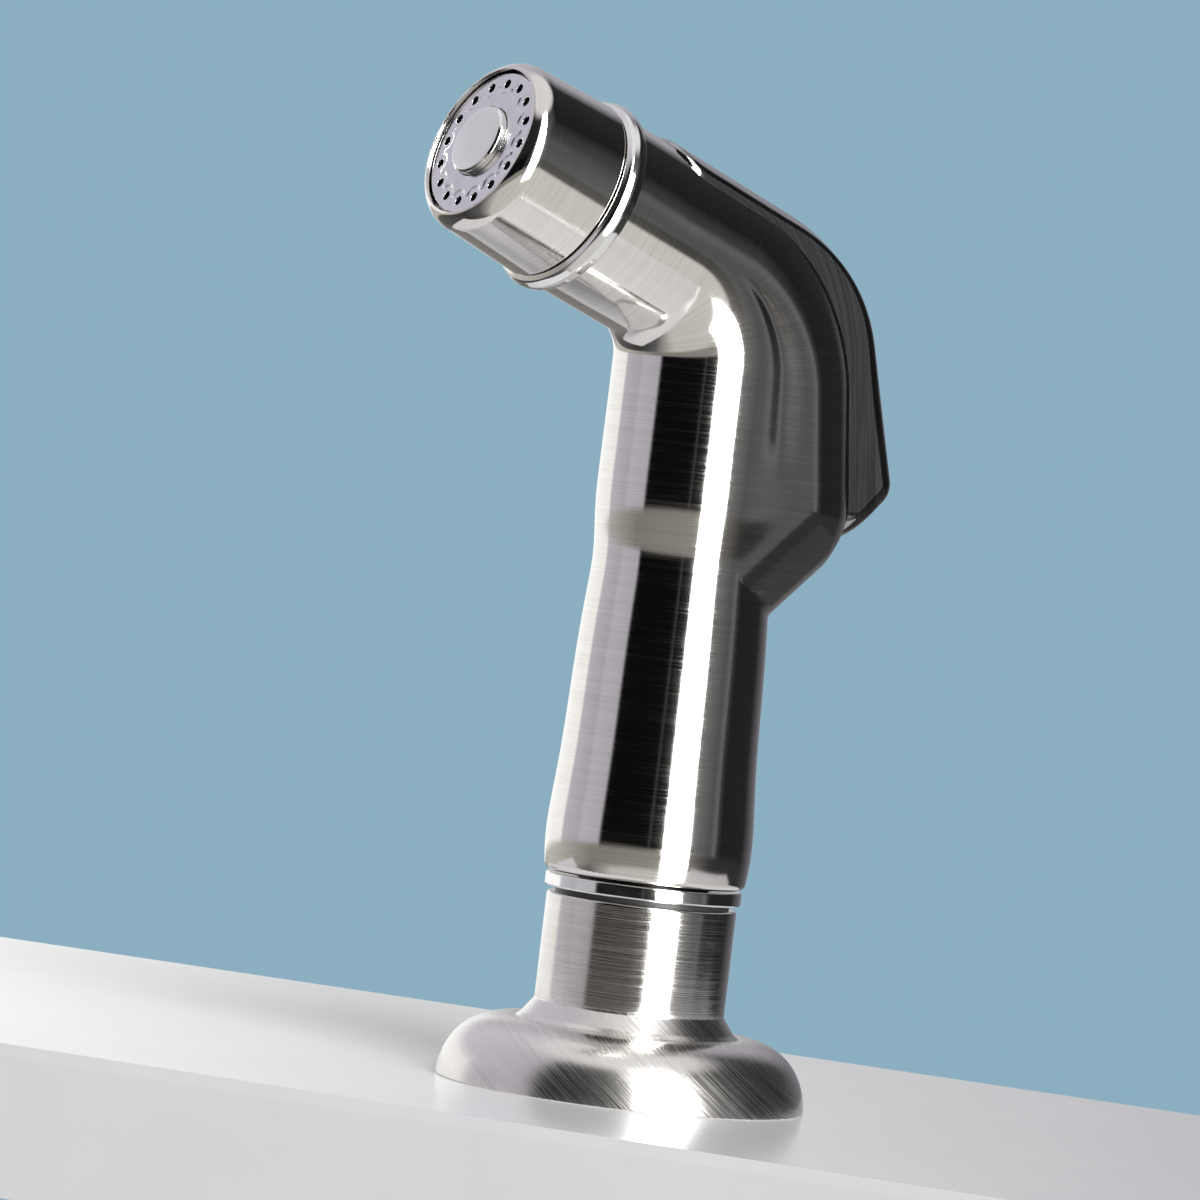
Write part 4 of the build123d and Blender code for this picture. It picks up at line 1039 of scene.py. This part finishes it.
def studio():
    """Studio light by direction: one tall bright window, and pale, grey and dark zones round the horizon.

    The zones stand still in the room. Their bearings and strengths were set by comparing renders with the
    photo, so that the metal's reflections fall as they do there from the photo's viewing angle.
    """
    world = bpy.data.worlds.new("studio")
    bpy.context.scene.world = world
    world.use_nodes = True
    tree = world.node_tree
    back = tree.nodes["Background"]
    coord = tree.nodes.new("ShaderNodeTexCoord")
    split = tree.nodes.new("ShaderNodeSeparateXYZ")
    tree.links.new(coord.outputs["Generated"], split.inputs[0])

    def maths(operation, a, b=None):
        node = tree.nodes.new("ShaderNodeMath")
        node.operation = operation
        for i, value in enumerate((a, b)):
            if value is None:
                continue
            if isinstance(value, (int, float)):
                node.inputs[i].default_value = value
            else:
                tree.links.new(value, node.inputs[i])
        return node.outputs[0]

    def step(x, low, high):
        """0 before low, 1 after high, smooth between."""
        node = tree.nodes.new("ShaderNodeMapRange")
        node.interpolation_type = "SMOOTHSTEP"
        tree.links.new(x, node.inputs[0])
        for i, value in enumerate((low, high, 0.0, 1.0)):
            node.inputs[i + 1].default_value = value
        return node.outputs[0]

    azimuth = maths("MULTIPLY", maths("ARCTAN2", split.outputs[1], split.outputs[0]), 180 / pi)
    height = maths("MULTIPLY", maths("ARCSINE", split.outputs[2]), 180 / pi)

    def ring(stops):
        """Colours round the horizon, by azimuth in degrees from +X towards +Y."""
        node = tree.nodes.new("ShaderNodeValToRGB")
        elements = node.color_ramp.elements
        while len(elements) > 1:
            elements.remove(elements[-1])
        for i, (angle, value, tint) in enumerate(stops):
            element = elements[0] if i == 0 else elements.new((angle + 180) / 360)
            element.color = (*[value * c for c in tint], 1)
        tree.links.new(maths("DIVIDE", maths("ADD", azimuth, 180.0), 360.0), node.inputs[0])
        return node.outputs[0]

    def over(below, above, start, end):
        """One ring turning into the next between two heights in degrees."""
        node = tree.nodes.new("ShaderNodeMix")
        node.data_type = "RGBA"
        tree.links.new(step(height, start, end), node.inputs[0])
        tree.links.new(below, node.inputs[6])
        tree.links.new(above, node.inputs[7])
        return node.outputs[2]

    # from about 5 degrees below the horizon to 16 above; ground and low lie under it, upper over it
    level = ring(
        [
            (-180, 1.15, PLAIN),
            (-152, 1.10, PLAIN),
            (-148, 0.60, VIOLET),
            (-122, 0.50, VIOLET),
            (-119, 0.58, VIOLET),
            (-94, 0.52, VIOLET),
            (-91, 0.004, PLAIN),
            (-37, 0.004, PLAIN),
            (-35, 0.06, PLAIN),
            (-33, 0.004, PLAIN),
            (-24, 0.02, PLAIN),
            (-10, 0.16, PLAIN),
            (16, 0.18, PLAIN),
            (36, 0.10, COOL),
            (43, 0.17, COOL),
            (46, 0.05, COOL),
            (52, 0.018, PLAIN),
            (92, 0.022, PLAIN),
            (112, 0.12, VIOLET),
            (138, 0.26, VIOLET),
            (146, 0.60, PLAIN),
            (152, 1.15, PLAIN),
        ]
    )
    ground = ring(
        [
            (-180, 0.12, PLAIN),
            (-128, 0.05, PLAIN),
            (-104, 0.12, PLAIN),
            (-74, 0.62, CREAM),
            (33, 0.70, CREAM),
            (44, 0.05, PLAIN),
            (112, 0.06, PLAIN),
            (138, 0.30, WARM),
            (179, 0.12, PLAIN),
        ]
    )
    low = ring(
        [
            (-180, 0.60, WARM),
            (-150, 0.50, WARM),
            (-100, 0.24, WARM),
            (-24, 0.30, WARM),
            (12, 0.17, WARM),
            (40, 0.035, PLAIN),
            (92, 0.035, PLAIN),
            (140, 0.20, VIOLET),
            (179, 0.60, WARM),
        ]
    )
    upper = ring(
        [
            (-180, 0.70, VIOLET),
            (-100, 0.56, VIOLET),
            (-90, 0.02, PLAIN),
            (-26, 0.02, PLAIN),
            (14, 0.12, PLAIN),
            (48, 0.05, PLAIN),
            (58, 0.016, PLAIN),
            (112, 0.03, PLAIN),
            (130, 0.42, VIOLET),
            (179, 0.70, VIOLET),
        ]
    )
    ceiling = tree.nodes.new("ShaderNodeRGB")
    ceiling.outputs[0].default_value = (0.86, 0.85, 0.87, 1)
    room = over(over(ground, low, -17.0, -13.0), level, -6.2, -4.2)
    room = over(over(room, upper, 10.0, 22.0), ceiling.outputs[0], 52.0, 64.0)

    def window(x, start, end, soft):
        before_end = maths("SUBTRACT", 1.0, step(x, end - soft, end))
        return maths("MULTIPLY", step(x, start, start + soft), before_end)

    beside = window(azimuth, *KEY_AZIMUTH, KEY_SIDE_SOFT)
    key = maths("MULTIPLY", beside, window(height, *KEY_HEIGHT, KEY_END_SOFT))
    extra = maths("MULTIPLY", key, KEY_LIGHT)
    light = tree.nodes.new("ShaderNodeMix")
    light.data_type = "RGBA"
    light.blend_type = "ADD"
    light.inputs[0].default_value = 1.0
    light.clamp_result = False
    tree.links.new(room, light.inputs[6])
    tree.links.new(extra, light.inputs[7])
    tree.links.new(light.outputs[2], back.inputs[0])
    back.inputs[1].default_value = 1.0

    # the camera sees a plain pale blue wall
    wall = tree.nodes.new("ShaderNodeBackground")
    wall.inputs[0].default_value = (*WALL, 1)
    seen = tree.nodes.new("ShaderNodeLightPath")
    mix = tree.nodes.new("ShaderNodeMixShader")
    tree.links.new(seen.outputs["Is Camera Ray"], mix.inputs[0])
    tree.links.new(back.outputs[0], mix.inputs[1])
    tree.links.new(wall.outputs[0], mix.inputs[2])
    tree.links.new(mix.outputs[0], tree.nodes["World Output"].inputs[0])


studio()

# the camera fitted to the photo's outlines; its azimuth is from the spray's direction
AZIMUTH = radians(55.0)
ELEVATION = radians(0.81)
ROLL = radians(6.77)
DISTANCE = 821.6
AIM_RIGHT = -10.53
AIM_HEIGHT = 66.65


def camera():
    back = np.array([sin(AZIMUTH) * cos(ELEVATION), -cos(AZIMUTH) * cos(ELEVATION), sin(ELEVATION)])
    right = np.array([cos(AZIMUTH), sin(AZIMUTH), 0.0])
    up = np.cross(back, right)
    place = right * AIM_RIGHT + np.array([0, 0, AIM_HEIGHT]) + back * DISTANCE
    x_axis = cos(ROLL) * right + sin(ROLL) * up
    y_axis = -sin(ROLL) * right + cos(ROLL) * up
    data = bpy.data.cameras.new("camera")
    data.lens = 180.0
    data.sensor_width = 36.0
    data.clip_start = 0.01
    data.clip_end = 50.0
    view = bpy.data.objects.new("camera", data)
    matrix = view.matrix_world.copy()
    for i in range(3):
        for j, axis in enumerate((x_axis, y_axis, back)):
            matrix[i][j] = axis[i]
        matrix[i][3] = place[i] * MM
    view.matrix_world = matrix
    bpy.context.scene.collection.objects.link(view)
    bpy.context.scene.camera = view


camera()
bpy.context.scene.view_settings.view_transform = "Standard"
